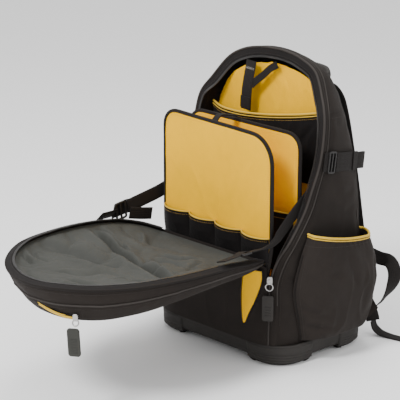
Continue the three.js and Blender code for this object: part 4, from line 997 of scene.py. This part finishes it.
# ------------------------------------------------------------------ flap
RIM_ = np.array([
    # rim x, y, z        outer lower edge x, y, z
    [127, -121.5, 190, 126, -122.5, 182], [144, -160, 198, 141, -160, 184], [151, -215, 204, 147, -212, 183],
    [152, -280, 206, 147, -275, 179], [149, -350, 209, 143, -338, 173], [138, -420, 213, 128, -402, 165],
    [113, -474, 216, 103, -448, 160], [70, -511, 217, 64, -480, 159], [22, -526, 216, 20, -492, 161],
    [-22, -523, 216, -21, -490, 163], [-70, -505, 218, -64, -474, 168], [-111, -472, 221, -102, -445, 174],
    [-140, -424, 226, -130, -405, 181], [-151, -354, 229, -144, -342, 187], [-153, -284, 228, -148, -278, 191],
    [-152, -218, 221, -148, -213, 192], [-145, -162, 208, -142, -161, 189], [-127, -121.5, 192, -126, -122.5, 182],
], float)
RS = spline(RIM_, 18)
NJ = len(RS)
hinge = np.array([lerp(RS[-1], RS[0], k / 48) for k in range(1, 48)])
LP = np.vstack([RS, hinge])
rim_loop, edge_loop = LP[:, :3].copy(), LP[:, 3:].copy()
free = np.zeros(len(LP))
free[:NJ] = smoothstep(np.minimum(np.arange(NJ), NJ - 1 - np.arange(NJ)) / 18.0, 0.2, 2.2)
edge_loop[:, 2] += free * 1.6 * noise(edge_loop, 55, 71)
WALLN = 26
o_dir = unit(np.column_stack([LP[:, 0], (LP[:, 1] + 305) * 0.9, np.zeros(len(LP))]))
rings = []
for v in np.linspace(0, 1, WALLN):
    p = lerp(rim_loop, edge_loop, v)
    p = p + o_dir * (free * (3.0 * math.sin(math.pi * v) ** 0.8 + 1.1 * math.sin(math.pi * v)))[:, None] + np.column_stack([np.sign(LP[:, 0]) * 0.8 * math.sin(math.pi * v), np.zeros(len(LP)), np.zeros(len(LP))])
    # seam of the piping that runs round the wall
    p = p - o_dir * (free * 1.3 * math.exp(-(((v - 0.46) / 0.05) ** 2)))[:, None]
    rings.append(p)
UNDER = np.array([0, -305, 171.0])
for k, f in enumerate(np.linspace(0, 0.994, 24)[1:]):
    p = lerp(edge_loop, UNDER, f)
    p[:, 2] -= 2.0 * math.sin(math.pi * min(1, f / 0.75)) + 1.8 * math.sin(math.pi * min(1, f * 6)) * (f * 6 < 1)
    rings.append(p)
P = np.array(rings)
amp = free[None] * np.concatenate([np.sin(np.linspace(0, math.pi, WALLN)) ** 0.7, np.zeros(len(rings) - WALLN)])[:, None]
wallfold = 1.5 * noise(P, (34, 34, 60), 72) + 1.2 * ridged(P, (30, 30, 50), 73) ** 3
P = P + o_dir[None] * (amp * wallfold)[..., None]
bot_amp = np.concatenate([np.zeros(WALLN), smoothstep(np.linspace(0, 1, len(rings) - WALLN), 0.02, 0.2)])[:, None] * np.ones((1, P.shape[1]))
P[..., 2] += bot_amp * (1.6 * noise(P, (60, 60, 60), 74) - 1.0 * ridged(P, (70, 70, 70), 75) ** 3)
nn = normals(P, True)
sg = np.sign(np.sum(nn[6] * o_dir, -1)[:NJ].mean())
V, F, UV = thick(P, 2.2, -sg, wrap=True)
flap = put("flap_skin", V, F, UV, "shell", "shell_fabric", ["flap_shell"])
FLAP_P, FLAP_N = P, nn * sg

jj = slice(2, NJ - 2)
k46 = int(round(0.46 * (WALLN - 1)))
pile = Pile()
V, F, UV = sweep(resample(P[k46, jj] + FLAP_N[k46, jj] * 0.9, 340), circle(1.6, 8))
pile.add(V, F, UV)
pile.put("flap_piping", "welt", "dark_webbing")
pile = Pile()
V, F, UV = sweep(resample(P[0, jj] + [0, 0, 0.6] + o_dir[jj] * 0.6, 340), circle(2.2, 8))
pile.add(V, F, UV)
pile.put("flap_rim_binding", "binding", "dark_webbing")
stitches(P[k46 + 3, jj] + FLAP_N[k46 + 3, jj] * 0.2, FLAP_N[k46 + 3, jj], 4.2, 2.8)
stitches(P[3, jj] + FLAP_N[3, jj] * 0.2, FLAP_N[3, jj], 4.0, 2.6)

# lining: crumpled nylon, slack inside the rim
SAG = np.array([0, -300, 197.0])
inner = rim_loop.copy()
c0 = np.array([0, -305.0])
inner[:, :2] = lerp(inner[:, :2], c0, 0.042)
inner[:, 2] -= 1.5
LR = 80
fs = np.linspace(0, 0.995, LR)
P = []
for f in fs:
    p = lerp(inner, SAG, f)
    g = 1 - (1 - f) ** 1.35
    p[:, 2] = lerp(inner[:, 2], SAG[2], g) - 1.5 * math.sin(math.pi * min(1.0, f / 0.65) * 0.5) * (1 - f)
    P.append(p)
P = np.array(P)
flatP = P.copy()
flatP[..., 2] = 206.0
G = lambda pts: np.array([(x, y, 206.0) for x, y in pts], float)
h = np.zeros(P.shape[:2])
h += 5.0 * noise(flatP, (105, 80, 90), 81) + 1.2 * noise(flatP, (42, 34, 40), 82)
r1 = ridged(flatP + np.stack([8 * noise(flatP, 60, 83), 8 * noise(flatP, 60, 84), 0 * h], -1), (115, 85, 80), 85)
h -= 6.0 * r1 ** 4
r2 = ridged(flatP, (40, 33, 40), 86)
h -= 0.9 * r2 ** 5
for pts, w, dp, lip in [
    ([(-136, -275), (-92, -288), (-27, -293), (57, -313), (126, -329)], 9, 8.5, 0.6),
    ([(-142, -391), (-69, -362), (-18, -356), (10, -333)], 12, 5.0, 0.5),
    ([(-145, -258), (-93, -264), (-34, -276)], 7, 4.5, 0.4),
    ([(-6, -238), (31, -223), (49, -195)], 7, 4.0, 0.5),
    ([(22, -455), (41, -449), (70, -440)], 8, 4.5, 0.4),
    ([(-142, -433), (-110, -444), (-76, -449)], 5, 3.2, 0.6),
    ([(-120, -418), (-92, -430), (-64, -424)], 5, 2.4, 0.6),
    ([(60, -392), (84, -372), (112, -366)], 7, 3.4, 0.5),
    ([(-60, -470), (-30, -452), (-12, -424)], 6, 2.6, 0.5),
    ([(88, -250), (70, -232), (66, -204)], 7, 3.0, 0.5),
]:
    h += crease(flatP, G(pts), w * 0.75, dp * 1.6, lip)
for pts, w, dp in [
    ([(-6, -262), (44, -288), (125, -323)], 10, 6.0),
    ([(-112, -179), (-92, -196), (-75, -209)], 9, 4.5),
    ([(-110, -330), (-60, -326), (-10, -318), (34, -338)], 16, 4.0),
    ([(-96, -236), (-50, -240), (-20, -226)], 14, 3.0),
]:
    h -= crease(flatP, G(pts), w * 0.7, dp * 1.25, 0.15)
inset_ = smoothstep(fs, 0.0, 0.10)[:, None] * (0.25 + 0.75 * smoothstep(flatP[..., 1], -135, -170))
P[..., 2] += h * inset_
P[..., 2] = np.minimum(P[..., 2], np.interp(fs, [0, 0.1, 0.3, 1], [0, 5, 11, 20])[:, None] + inner[None, :, 2])
nn = normals(P, True)
sg = np.sign(nn[..., 2].mean())
# never through the shell below it
V, F, UV = thick(P, 1.2, -sg, wrap=True)
lin = put("flap_liner", V, F, UV, "lining", "grey_lining", ["flap_lining"])
LIN_P = P

tp = []
for k in np.linspace(0, 1, 9):
    a_ = rim_loop[:NJ] + [0, 0, 0.5] + o_dir[:NJ] * 1.2
    off = 13.0 * k
    lift_ = np.interp(off, [0, 7, 13], [0, 2.4, 3.0])
    q = a_ - o_dir[:NJ] * off
    q[:, 2] += lift_ + 0.7 * noise(a_, 30, 91) * k
    tp.append(q)
tp = np.array(tp)
nn = normals(tp)
sg = np.sign(nn[..., 2].mean())
V, F, UV = thick(tp, 1.5, sg)
put("flap_zip_band", V, F, UV, "ziptape", "dark_webbing", ["flap_zip_tape"])
coil(tp[-1] + [0, 0, 1.6], -o_dir[:NJ], np.broadcast_to([0, 0, 1.0], (NJ, 3)))
stitches(tp[5] + nn[5] * sg * 1.7, nn[5] * sg, 3.6, 2.3)

# ------------------------------------------------------------------ small moulded and metal parts
def slab(w, t, h, r, bev, M, n=8):
    """Plate with rounded corners and bevelled edges; w along local x, t along y, h along z; M takes local to frame."""
    pts = []
    for sx, sz, a0 in ((1, 1, 0), (-1, 1, 90), (-1, -1, 180), (1, -1, 270)):
        for k in range(n + 1):
            t_ = math.radians(a0 + 90 * k / n)
            pts.append((sx * (w / 2 - r) + r * math.cos(t_), sz * (h / 2 - r) + r * math.sin(t_)))
    pts = np.array(pts)
    nrm = unit(pts - pts * 0.0 - np.column_stack([np.sign(pts[:, 0]) * (w / 2 - r), np.sign(pts[:, 1]) * (h / 2 - r)]))
    lev = [(-bev * 2.2, -t / 2), (-bev, -t / 2), (-bev * 0.3, -t / 2 + bev * 0.3), (0, -t / 2 + bev), (0, t / 2 - bev), (-bev * 0.3, t / 2 - bev * 0.3), (-bev, t / 2), (-bev * 2.2, t / 2)]
    V = np.array([[(p[0] + q[0] * o, y, p[1] + q[1] * o) for p, q in zip(pts, nrm)] for o, y in lev])
    R_, C_ = V.shape[:2]
    F = []
    for i in range(R_ - 1):
        for j in range(C_):
            F.append([i * C_ + j, i * C_ + (j + 1) % C_, (i + 1) * C_ + (j + 1) % C_, (i + 1) * C_ + j])
    F += [list(range(C_))[::-1], [(R_ - 1) * C_ + q for q in range(C_)]]
    V = V.reshape(-1, 3)
    UV = [V[f][:, [0, 2]] for f in F]
    return V @ np.asarray(M[0], float).T + np.asarray(M[1], float), F, UV


def rot(axis, t):
    c, s = math.cos(t), math.sin(t)
    return np.array({"x": [[1, 0, 0], [0, c, -s], [0, s, c]], "y": [[c, 0, s], [0, 1, 0], [-s, 0, c]], "z": [[c, -s, 0], [s, c, 0], [0, 0, 1]]}[axis])


def torus(R_, r_, M, n=40, sides=12):
    t = np.linspace(0, 2 * math.pi, n, endpoint=False)
    P = np.column_stack([R_ * np.cos(t), R_ * np.sin(t), 0 * t]) @ np.asarray(M[0]).T + np.asarray(M[1], float)
    return sweep(P, circle(r_, sides), closed=True)


def soft_bar(w, t, p=0.55, n=14):
    return [(w / 2 * math.copysign(abs(math.cos(q)) ** p, math.cos(q)), t / 2 * math.copysign(abs(math.sin(q)) ** p, math.sin(q))) for q in np.linspace(0, 2 * math.pi, n, endpoint=False)]


def lock(name, c, X, Y, Z, w, h, bar, depth, nodes, mat="plastic"):
    """Rectangular frame with rounded corners and a middle bar; the strap runs along X."""
    B = np.column_stack([unit(X), unit(Y), unit(Z)])
    r_ = 4.0
    pts = []
    for sx, sy, a0 in ((1, 1, 0), (-1, 1, 90), (-1, -1, 180), (1, -1, 270)):
        for k in range(7):
            t = math.radians(a0 + 15 * k)
            pts.append((sx * (w / 2 - bar / 2 - r_ + 1.6) + (r_ - 1.6) * math.cos(t), sy * (h / 2 - bar / 2 - r_ + 1.6) + (r_ - 1.6) * math.sin(t), 0))
    pts = resample(np.array(pts), 72, True) @ B.T + np.asarray(c, float)
    z = unit(Z)
    pile = Pile()
    pile.add(*sweep(pts, soft_bar(depth, bar), lambda k: z, closed=True))
    mid_ = np.array([(0, y, 0) for y in np.linspace(-h / 2 + bar * 0.8, h / 2 - bar * 0.8, 16)]) @ B.T + np.asarray(c, float)
    pile.add(*sweep(mid_, soft_bar(depth * 0.9, bar), lambda k: z))
    return pile.put(name, mat, "buckle_plastic" if mat == "plastic" else "slider_metal", nodes)


# main sliders with their pulls
for side_name, s in (("right", 1), ("left", -1)):
    R_ = rot("z", s * 0.6) @ rot("x", math.pi / 2)
    pile = Pile()
    pile.add(*torus(6.2, 1.15, (R_, (s * 140.5, -120.5, 147))))
    body_R = rot("z", s * 0.75) @ rot("x", -0.15)
    pile.add(*slab(9.5, 4.6, 14, 3.0, 0.9, (body_R, (s * 138.6, -117.6, 157.5))))
    pile.add(*slab(5.2, 6.6, 9, 1.6, 0.8, (body_R, (s * 138.9, -118.4, 155.5))))
    pile.put(f"zip_slider_{side_name}", "metal", "slider_metal", [f"main_slider_{side_name}"])
    Rp = rot("z", s * 0.6)
    c = np.array([s * 138.5, -121.5, 109])
    pile = Pile()
    pile.add(*slab(19.5, 3.4, 45.5, 4.0, 0.9, (Rp, c)))
    for k in range(4):
        pile.add(*slab(11.5, 1.2, 1.6, 0.7, 0.3, (Rp, c + Rp @ np.array([0, -1.9, -13 + 5.0 * k]))))
        pile.add(*slab(11.5, 1.2, 1.6, 0.7, 0.3, (Rp, c + Rp @ np.array([0, 1.9, -13 + 5.0 * k]))))
    pile.put(f"zip_pull_{side_name}", "rubber", "moulded_rubber", [f"main_pull_{side_name}"])

# outer pocket at the free end of the flap
PIPE = smooth([[20, -509.5, 180.5], [40, -504.8, 174], [60, -496.8, 168.5], [79, -485.5, 165.5]], 120)
pile = Pile()
V, F, UV = sweep(PIPE, circle(2.0, 10))
pile.add(V, F, UV)
V, F, UV = sweep(PIPE[:96] + [-1.0, -2.2, 3.0], circle(0.9, 8))
pile.add(V, F, UV)
pile.put("flap_pocket_cord", "piping", "yellow_piping", ["flap_pocket_piping"])
V, F, UV = sweep(PIPE + [0, 1.2, 2.0], strap_section(5.0, 1.6), lambda k: (0, -0.3, 1))
put("flap_pocket_tape", V, F, UV, "ziptape", "dark_webbing")
R_ = rot("z", 0.5) @ rot("x", math.pi / 2 - 0.3)
pile = Pile()
pile.add(*torus(5, 1.1, (R_, (82.5, -488, 160))))
pile.add(*slab(8.5, 4.2, 11.5, 2.6, 0.8, (rot("z", 0.5), (80.5, -486.5, 168))))
pile.put("flap_slider", "metal", "slider_metal", ["flap_pocket_slider"])
Rp = rot("z", 0.5) @ rot("y", -0.05)
c = np.array([81.5, -491.5, 128.5])
pile = Pile()
pile.add(*slab(21, 3.6, 46, 5.0, 1.0, (Rp, c)))
for k in range(5):
    pile.add(*slab(12, 1.2, 1.7, 0.8, 0.3, (Rp, c + Rp @ np.array([0, -2.0, -16 + 5.2 * k]))))
pile.put("flap_pull", "pull", "moulded_rubber", ["flap_pocket_pull"])

# ------------------------------------------------------------------ support straps with their locks
vert = lambda k: (0, 0.25, 1)
P, T_, W_, N_ = strap("flap_strap_left", [[-143, -30, 292], [-143, -60, 276], [-143.6, -84, 267], [-146, -112, 257], [-150.5, -150, 247], [-154.5, -179, 239.5]], 25, 2, vert, replaces=["support_strap_left"])
strap("flap_strap_left_lower", [[-153, -211.5, 233.5], [-152, -228, 233.5], [-150, -248, 234]], 24, 2, lambda k: (0.9, 0.1, 0.9), replaces=["support_strap_left_lower"])
strap("flap_strap_left_tail", [[-148, -181, 229], [-146.5, -158, 224], [-146, -131, 219]], 22, 1.8, vert, replaces=["support_strap_left_tail"])


def right_side(k):
    q = min(1.0, max(0.0, (k - 0.56) * 3.4))
    return (0.95 * q, 0.3 * (1 - q), 1 - 0.7 * q)


P, T_, W_, N_ = strap("flap_strap_right", [[142, -30, 290], [141.6, -62, 266], [142.2, -92, 241], [143.8, -114, 226], [143, -142, 220.5], [142.5, -173, 220]], 23, 2, right_side, replaces=["support_strap_right"], n=120)
strap("flap_strap_right_lower", [[142, -200, 219.5], [142, -216, 218.5], [141.5, -234, 217]], 23, 2, lambda k: (0.95, 0, 0.3), replaces=["support_strap_right_lower"])
strap("flap_strap_left_threaded", [[-154.6, -176, 240.4], [-157.4, -184, 238.8], [-158.6, -195.5, 236.2], [-157.2, -206, 234.6], [-153.2, -215, 233.7]], 25, 1.8, lambda k: (0.5 * max(0.0, k - 0.6), 0.2, 1), n=50)
strap("flap_strap_right_threaded", [[142.4, -171, 220.2], [142, -179, 221.8], [141.6, -186, 223.4], [141.8, -194, 221.6], [142, -202, 219.6]], 20, 1.8, lambda k: (0.95, 0, 0.3), n=50)
lock("lock_left", (-155.4, -195.5, 234), (0, -0.985, -0.17), (0, -0.17, 0.985), (-1, 0, 0), 25, 33, 3.6, 4, ["ladder_lock_left"])
lock("lock_right", (142.5, -186, 219.8), (0, -1, 0), (0.9536, 0, 0.3011), (-0.3011, 0, 0.9536), 22, 28, 3.4, 4, ["ladder_lock_right"])

# ------------------------------------------------------------------ compression straps on the sides
def on_side(t, z, lift, s):
    j = t * (NV - 1)
    j0 = min(NV - 2, int(j))
    f = j - j0
    idx = np.arange(0, 11 * PER) if s > 0 else np.arange(NR - 1, NR - 1 - 11 * PER, -1)
    col = SH[idx, j0] * (1 - f) + SH[idx, j0 + 1] * f
    nc = unit(Nsh[idx, j0] * (1 - f) + Nsh[idx, j0 + 1] * f)
    k = np.interp(z, col[:, 2], np.arange(len(col)))
    k0 = min(len(col) - 2, int(k))
    g = k - k0
    return col[k0] * (1 - g) + col[k0 + 1] * g + unit(nc[k0] * (1 - g) + nc[k0 + 1] * g) * lift


STRAP_Z = lambda t: lerp(350.0, 331.0, t)
for side_name, s in (("right", 1), ("left", -1)):
    ts = np.linspace(0.06, 0.97, 26)
    path = np.array([on_side(t, STRAP_Z(t), 2.9 + 0.5 * math.sin(9 * t), s) for t in ts])
    for _ in range(2):
        path[1:-1] = (path[:-2] + 2 * path[1:-1] + path[2:]) / 4
    P = smooth(path, 100)
    side = lambda k: (0, 0, 1)
    V, F, UV = sweep(P, strap_section(33, 2), side)
    pile = Pile()
    pile.add(V, F, UV)
    fold = np.array([on_side(t, STRAP_Z(t), 5.4 + 1.2 * math.sin((t - 0.84) / 0.14 * math.pi), s) for t in np.linspace(0.84, 0.98, 10)])
    V, F, UV = sweep(smooth(fold, 40), strap_section(33, 2.4), side)
    pile.add(V, F, UV)
    fold2 = np.array([on_side(t, STRAP_Z(t), 5.2, s) for t in np.linspace(0.36, 0.46, 6)])
    V, F, UV = sweep(smooth(fold2, 30), strap_section(33, 2.0), side)
    pile.add(V, F, UV)
    pile.put(f"compression_strap_{side_name}", "webbing", "dark_webbing", [f"side_strap_{side_name}"])
    T_, W_, N_ = frames(P, side)
    sgn_ = np.sign(N_[50, 0]) * s
    for i in (8, 92):
        bar_tack(P[i], T_[i], W_[i], N_[i] * sgn_, 29, 1.0 if i == 8 else 1.2, 3)
    e_ = on_side(0.99, STRAP_Z(1.0), 3.6, s)
    tail = [[e_[0] - s * 0.3, e_[1] + 2, e_[2]], [e_[0] - s * 1.5, e_[1] + 13, e_[2] - 1], [e_[0] - s * 4, e_[1] + 24, e_[2] - 3]]
    P, T_, W_, N_ = strap(f"compression_tail_{side_name}", tail, 30, 3, side, replaces=[f"side_strap_{side_name}_tail"], n=30)
    c_, d_ = on_side(0.24, STRAP_Z(0.24), 6.4, s), on_side(0.36, STRAP_Z(0.36), 6.4, s)
    X = unit(d_ - c_)
    n_ = unit(np.cross(X, [0, 0, 1.0]))
    lock(f"compression_lock_{side_name}", c_, X, np.cross(n_, X), n_, 19, 38, 3.2, 3.2, [f"side_strap_{side_name}_frame"])

# ------------------------------------------------------------------ side pouches
POUCH = np.array([
    [163.5, -52, 229, 161, -84, 160, -66], [176, -52, 228, 177, -74, 172, -58], [189, -34, 224, 195, -42, 187, -34],
    [195, -4, 218, 203, -4, 194, -2], [196, 26, 213, 205, 28, 195, 26], [193, 56, 209, 204, 58, 193, 52],
    [186, 80, 206, 199, 84, 187, 76], [172, 96, 206, 182, 101, 173, 95], [151.5, 104.5, 206, 153, 107.5, 152, 107.5],
    [145.5, 99.5, 207, 147.5, 101.5, 147, 102],
], float)
inset = np.clip((POUCH[:, 5] - 158) / 37, 0, 1)
one = np.ones(len(POUCH))
ctrl = [
    np.column_stack([POUCH[:, 0], POUCH[:, 1], POUCH[:, 2]]),
    np.column_stack([POUCH[:, 0] * 0.4 + POUCH[:, 3] * 0.6 + 0.5, POUCH[:, 1] * 0.4 + POUCH[:, 4] * 0.6, one * 185]),
    np.column_stack([POUCH[:, 3], POUCH[:, 4], one * 135]),
    np.column_stack([(POUCH[:, 3] + POUCH[:, 5]) / 2 + 1, (POUCH[:, 4] + POUCH[:, 6]) / 2, one * 86]),
    np.column_stack([POUCH[:, 5], POUCH[:, 6], one * 52]),
    np.column_stack([POUCH[:, 5] - 5 * inset, POUCH[:, 6] * 0.97, one * 43.5]),
    np.column_stack([POUCH[:, 5] - 17 * inset, POUCH[:, 6] * 0.93, one * 42]),
]
dense = [spline(c, 15) for c in ctrl]
base_P = np.array([spline(np.array([c[k] for c in dense]), 11) for k in range(len(dense[0]))]).transpose(1, 0, 2)
for side_name, s in (("right", 1), ("left", -1)):
    P = base_P.copy()
    n_ = normals(P)
    n_ *= np.sign(n_[40, 60, 0])
    w_ = np.linspace(0, 1, P.shape[0])[:, None] * np.ones((1, P.shape[1]))
    c_ = np.linspace(0, 1, P.shape[1])[None] * np.ones((P.shape[0], 1))
    away = smoothstep(c_, 0.0, 0.08) * smoothstep(c_, 1.0, 0.92)
    seed = 101 if s > 0 else 121
    s_arc = np.cumsum(np.linalg.norm(np.diff(P[6], axis=0, prepend=P[6][:1]), axis=1))[None] * np.ones((P.shape[0], 1))
    gather = np.sin(s_arc * 2 * math.pi / 13.0 + 1.8 * noise(P, 40, seed + 5)) * np.exp(-((w_ * 190 - 9) / 12.0) ** 2)
    hh = away * (1.6 * noise(P, (46, 46, 70), seed) + 1.0 * noise(P, (20, 20, 34), seed + 1) + 1.8 * ridged(P, (44, 44, 80), seed + 2) ** 3 - 0.6)
    hh *= 1 - 0.75 * smoothstep(w_, 0.82, 1.0)
    hh += 0.35 * gather * away
    hh -= 0.7 * np.exp(-((w_ * 190 - 9) / 5.0) ** 2) * away
    for pts, w, dp in [
        ([(177, -71, 139), (185, -50, 122), (190, -20, 100)], 6, 3.4),
        ([(172, -74, 108), (184, -54, 96), (192, -24, 84)], 5, 2.2),
        ([(196, 8, 190), (203, 20, 160), (205, 34, 128)], 7, 2.2),
        ([(186, -44, 176), (197, -26, 160), (203, -2, 152)], 7, 2.4),
        ([(200, 50, 150), (203, 52, 110), (198, 54, 76)], 8, 1.8),
        ([(192, 80, 178), (198, 84, 140), (196, 82, 108)], 6, 1.8),
        ([(176, -72, 72), (186, -44, 66), (192, -10, 64)], 5, 2.4),
    ]:
        hh += crease(P, np.array(pts, float), w, dp, 0.5) * away
    P = P + n_ * hh[..., None]
    Q = P.copy()
    Q[..., 0] *= s
    nq = normals(Q)
    sg = np.sign(nq[40, 60, 0]) * s
    V, F, UV = thick(Q, 1.7, -sg)
    o = put(f"pouch_{side_name}", V, F, UV, "pouch", "shell_fabric", [f"side_pouch_{side_name}"])
    declare(o, Q)
    nq = nq * sg
    m = np.array([1.0 * s, 1, 1])
    top = resample(Q[0] + [-0.4 * s, 0, 2.0], 200)
    pile = Pile()
    pile.add(*sweep(top, circle(2.2, 10)))
    pile.add(*sweep(resample(Q[0] + nq[0] * 0.9 + [0, 0, -2.2], 200), circle(1.15, 8)))
    pile.put(f"pouch_cord_{side_name}", "piping", "yellow_piping", [f"side_pouch_{side_name}_piping"])
    # front and back seams of the pouch
    for k in (3, Q.shape[1] - 15):
        q = Q[8:-8, k] + nq[8:-8, k] * 0.5
        pile = Pile()
        pile.add(*sweep(resample(q, 90), circle(1.2, 8)))
        pile.put(f"pouch_seam_{side_name}_{'front' if k == 3 else 'back'}", "binding", "dark_webbing")
    stitches(Q[8:-10, 10] + nq[8:-10, 10] * 0.2, nq[8:-10, 10], 4.2, 2.8)
    stitches(Q[4] + nq[4] * 1.7, nq[4], 4.0, 2.6)

# ------------------------------------------------------------------ harness on the back
for side_name, s in (("right", 1), ("left", -1)):
    PADP = np.array([[50, 93.5, 450], [52, 104, 444], [56, 114, 425], [63, 120, 390], [74, 124, 330], [84, 128, 270], [92, 132, 215], [98, 134, 180]], float) * [s, 1, 1]
    P = smooth(PADP, 150)
    ks = np.linspace(0, 1, 151)
    wid = np.where(ks < 0.12, 46 + 120 * ks, 60 - 14 * np.maximum(0, ks - 0.6))
    wid = np.convolve(np.pad(wid, 6, mode="edge"), np.ones(13) / 13, "valid")
    wid *= np.where(ks > 0.96, np.sqrt(np.clip(1 - ((ks - 0.96) / 0.045) ** 2, 0.05, 1)), 1)
    thk = lerp(6.0, 13.0, smoothstep(ks, 0.03, 0.18)) * lerp(1.0, 0.45, smoothstep(ks, 0.955, 1.0))
    sec = [(0.5 * math.copysign(abs(math.cos(q)) ** 0.55, math.cos(q)), 0.5 * math.copysign(abs(math.sin(q)) ** 0.8, math.sin(q))) for q in np.linspace(0, 2 * math.pi, 44, endpoint=False)]
    side = lambda k, s=s: (1, 0.12 * s, 0.25 * s)
    V, F, UV = sweep(P, sec, side, scale_w=wid, scale_t=thk)
    T_, W_, N_ = frames(P, side)
    Vv = V.reshape(len(P), len(sec), 3)
    across = np.array([q[0] for q in sec])[None]
    upw = np.array([q[1] for q in sec])[None]
    dimp = (0.5 - np.abs(upw)) * 0
    chan = -1.5 * np.exp(-((np.abs(across) - 0.43) / 0.03) ** 2) * np.sign(upw) + 0.5 * noise(Vv, (26, 40, 30), 141) * np.sign(upw) * (np.abs(across) < 0.4)
    Vv = Vv + N_[:, None] * (chan * (np.abs(upw) > 0.2) * smoothstep(ks, 0, 0.05)[:, None] * smoothstep(ks, 1, 0.95)[:, None])[..., None]
    o = put(f"shoulder_pad_{side_name}", Vv.reshape(-1, 3), F, UV, "mesh_pad", "shell_fabric", [f"shoulder_strap_{side_name}"])
    pile = Pile()
    for e_ in (-1, 1):
        pile.add(*sweep(P[4:-3] + W_[4:-3] * (e_ * (wid[4:-3] / 2 - 0.4))[:, None], circle(2.6, 10)))
    pile.put(f"shoulder_binding_{side_name}", "binding", "dark_webbing")
    # flat keeper webbing down the middle of the pad
    for sgn_ in (1, -1):
        face = P + N_ * (sgn_ * (thk / 2 + 0.9))[:, None]
        if face[75, 1] > P[75, 1]:
            V, F, UV = sweep(face[14:140], strap_section(24, 1.6), side)
            put(f"shoulder_keeper_{side_name}", V, F, UV, "webbing", "dark_webbing")
    LOOPP = np.array([[101, 136, 166], [125, 145, 150], [150, 152, 142], [172, 153, 141], [184, 151, 132], [188, 150, 117], [180, 150, 92], [167, 146, 69], [160, 142.5, 59]], float) * [s, 1, 1]
    LT = unit(np.gradient(smooth(LOOPP, 130), axis=0))
    LB = back * [s, 1, 1]

    def web_side(k, LT=LT, LB=LB):
        t = LT[min(130, int(round(k * 130)))]
        w0 = unit(np.cross(t, LB))
        th = math.radians(78) * float(smoothstep(k, 0.55, 0.95))
        return w0 * math.cos(th) + LB * math.sin(th)
    strap(f"harness_web_{side_name}", LOOPP, 24, 1.8, web_side, replaces=[f"shoulder_webbing_{side_name}"], n=130)
    ANCH = np.array([[138, 125.5, 62], [143, 131.5, 53], [151, 139, 42]], float) * [s, 1, 1]
    strap(f"anchor_{side_name}", ANCH, 38, 4, lambda k, s=s: (s * 0.2, 0.35, 1), replaces=[f"lower_anchor_{side_name}"], n=30, mat="pouch", slot="shell_fabric", width_fn=lambda k: 38 - 14 * k)
    LINK = np.array([[146.5, 133.5, 50], [149.5, 137, 38], [152, 137.8, 27]], float) * [s, 1, 1]
    strap(f"anchor_link_{side_name}", LINK, 24, 2, lambda k, s=s: (s * 0.5, 0.6, 0.6), n=30)
    TAIL = np.array([[152, 137.5, 28], [155, 139.5, 15], [164, 144.5, 5.5], [178, 149, 2.2], [197, 153, 1.3], [219, 158, 1.3]], float) * [s, 1, 1]
    strap(f"web_tail_{side_name}", TAIL, 22, 1.8, lambda k, s=s: (-s * 0.35, 1, 0 if k > 0.6 else 0.5 * (0.6 - k)), replaces=[f"webbing_tail_{side_name}"], n=110)
H = smooth([[-61, 89, 467], [-64, 99, 470], [-52, 108, 476], [-22, 111.5, 479], [0, 112.5, 479.5], [22, 111.5, 479], [52, 108, 476], [64, 99, 470], [61, 89, 467]], 150)
ks = np.linspace(0, 1, 151)
grip = 1 + 0.05 * np.sign(np.sin(ks * 2 * math.pi * 26)) * ((ks > 0.26) & (ks < 0.74))
V, F, UV = sweep(H, soft_bar(13, 10, 0.7, 24), lambda k: (0, -0.35, 1), scale_w=grip * 0.98, scale_t=grip * lerp(0.7, 1.0, smoothstep(np.minimum(ks, 1 - ks), 0.02, 0.2)))
put("top_handle", V, F, UV, "rubber", "moulded_rubber", ["grab_handle"])

# ------------------------------------------------------------------ thread and teeth
for thread, pile in STITCH.items():
    if pile.n:
        pile.put("stitching_" + thread.split("_")[1], thread, "dark_webbing", closed=False, smooth_shade=False)
TEETH.put("zip_teeth", "teeth", "dark_webbing", closed=False, smooth_shade=False)

# ------------------------------------------------------------------ the shell cloth measured; the sizes are not used
declare(shell, SH, share=0.5)

# ------------------------------------------------------------------ floor and light
bpy.ops.mesh.primitive_plane_add(size=14, location=(0, 0.6, 0))
floor = bpy.context.object
floor.name = "floor"
fm = bpy.data.materials.new("floor")
fm.use_nodes = True
fb = fm.node_tree.nodes["Principled BSDF"]
fb.inputs["Base Color"].default_value = (0.93, 0.93, 0.93, 1)
fb.inputs["Roughness"].default_value = 0.9
fb.inputs["Specular IOR Level"].default_value = 0.1
floor.data.materials.append(fm)

world = bpy.data.worlds.new("world")
bpy.context.scene.world = world
world.use_nodes = True
world.node_tree.nodes["Background"].inputs[0].default_value = (1, 1, 1, 1)
world.node_tree.nodes["Background"].inputs[1].default_value = 1.15


def area(name, loc, aim, size, power, color=(1, 1, 1)):
    ld = bpy.data.lights.new(name, "AREA")
    ld.shape = "DISK"
    ld.size, ld.energy, ld.color = size, power, color
    o = bpy.data.objects.new(name, ld)
    bpy.context.scene.collection.objects.link(o)
    o.location = loc
    from mathutils import Vector
    o.rotation_euler = (Vector(aim) - Vector(loc)).to_track_quat("-Z", "Y").to_euler()
    return o


aim = (0.0, 0.05, 0.25)
bk, rt = back, right
key = np.array(aim) + back * 1.5 - right * 1.3 + np.array([0, 0, 1.6])
fill = np.array(aim) + back * 1.6 + right * 1.9 + np.array([0, 0, 0.7])
topl = np.array(aim) + np.array([-0.2, 0.4, 2.4])
area("key", tuple(key), aim, 0.8, 70)
area("fill", tuple(fill), aim, 1.4, 10)
area("top", tuple(topl), aim, 1.2, 26)

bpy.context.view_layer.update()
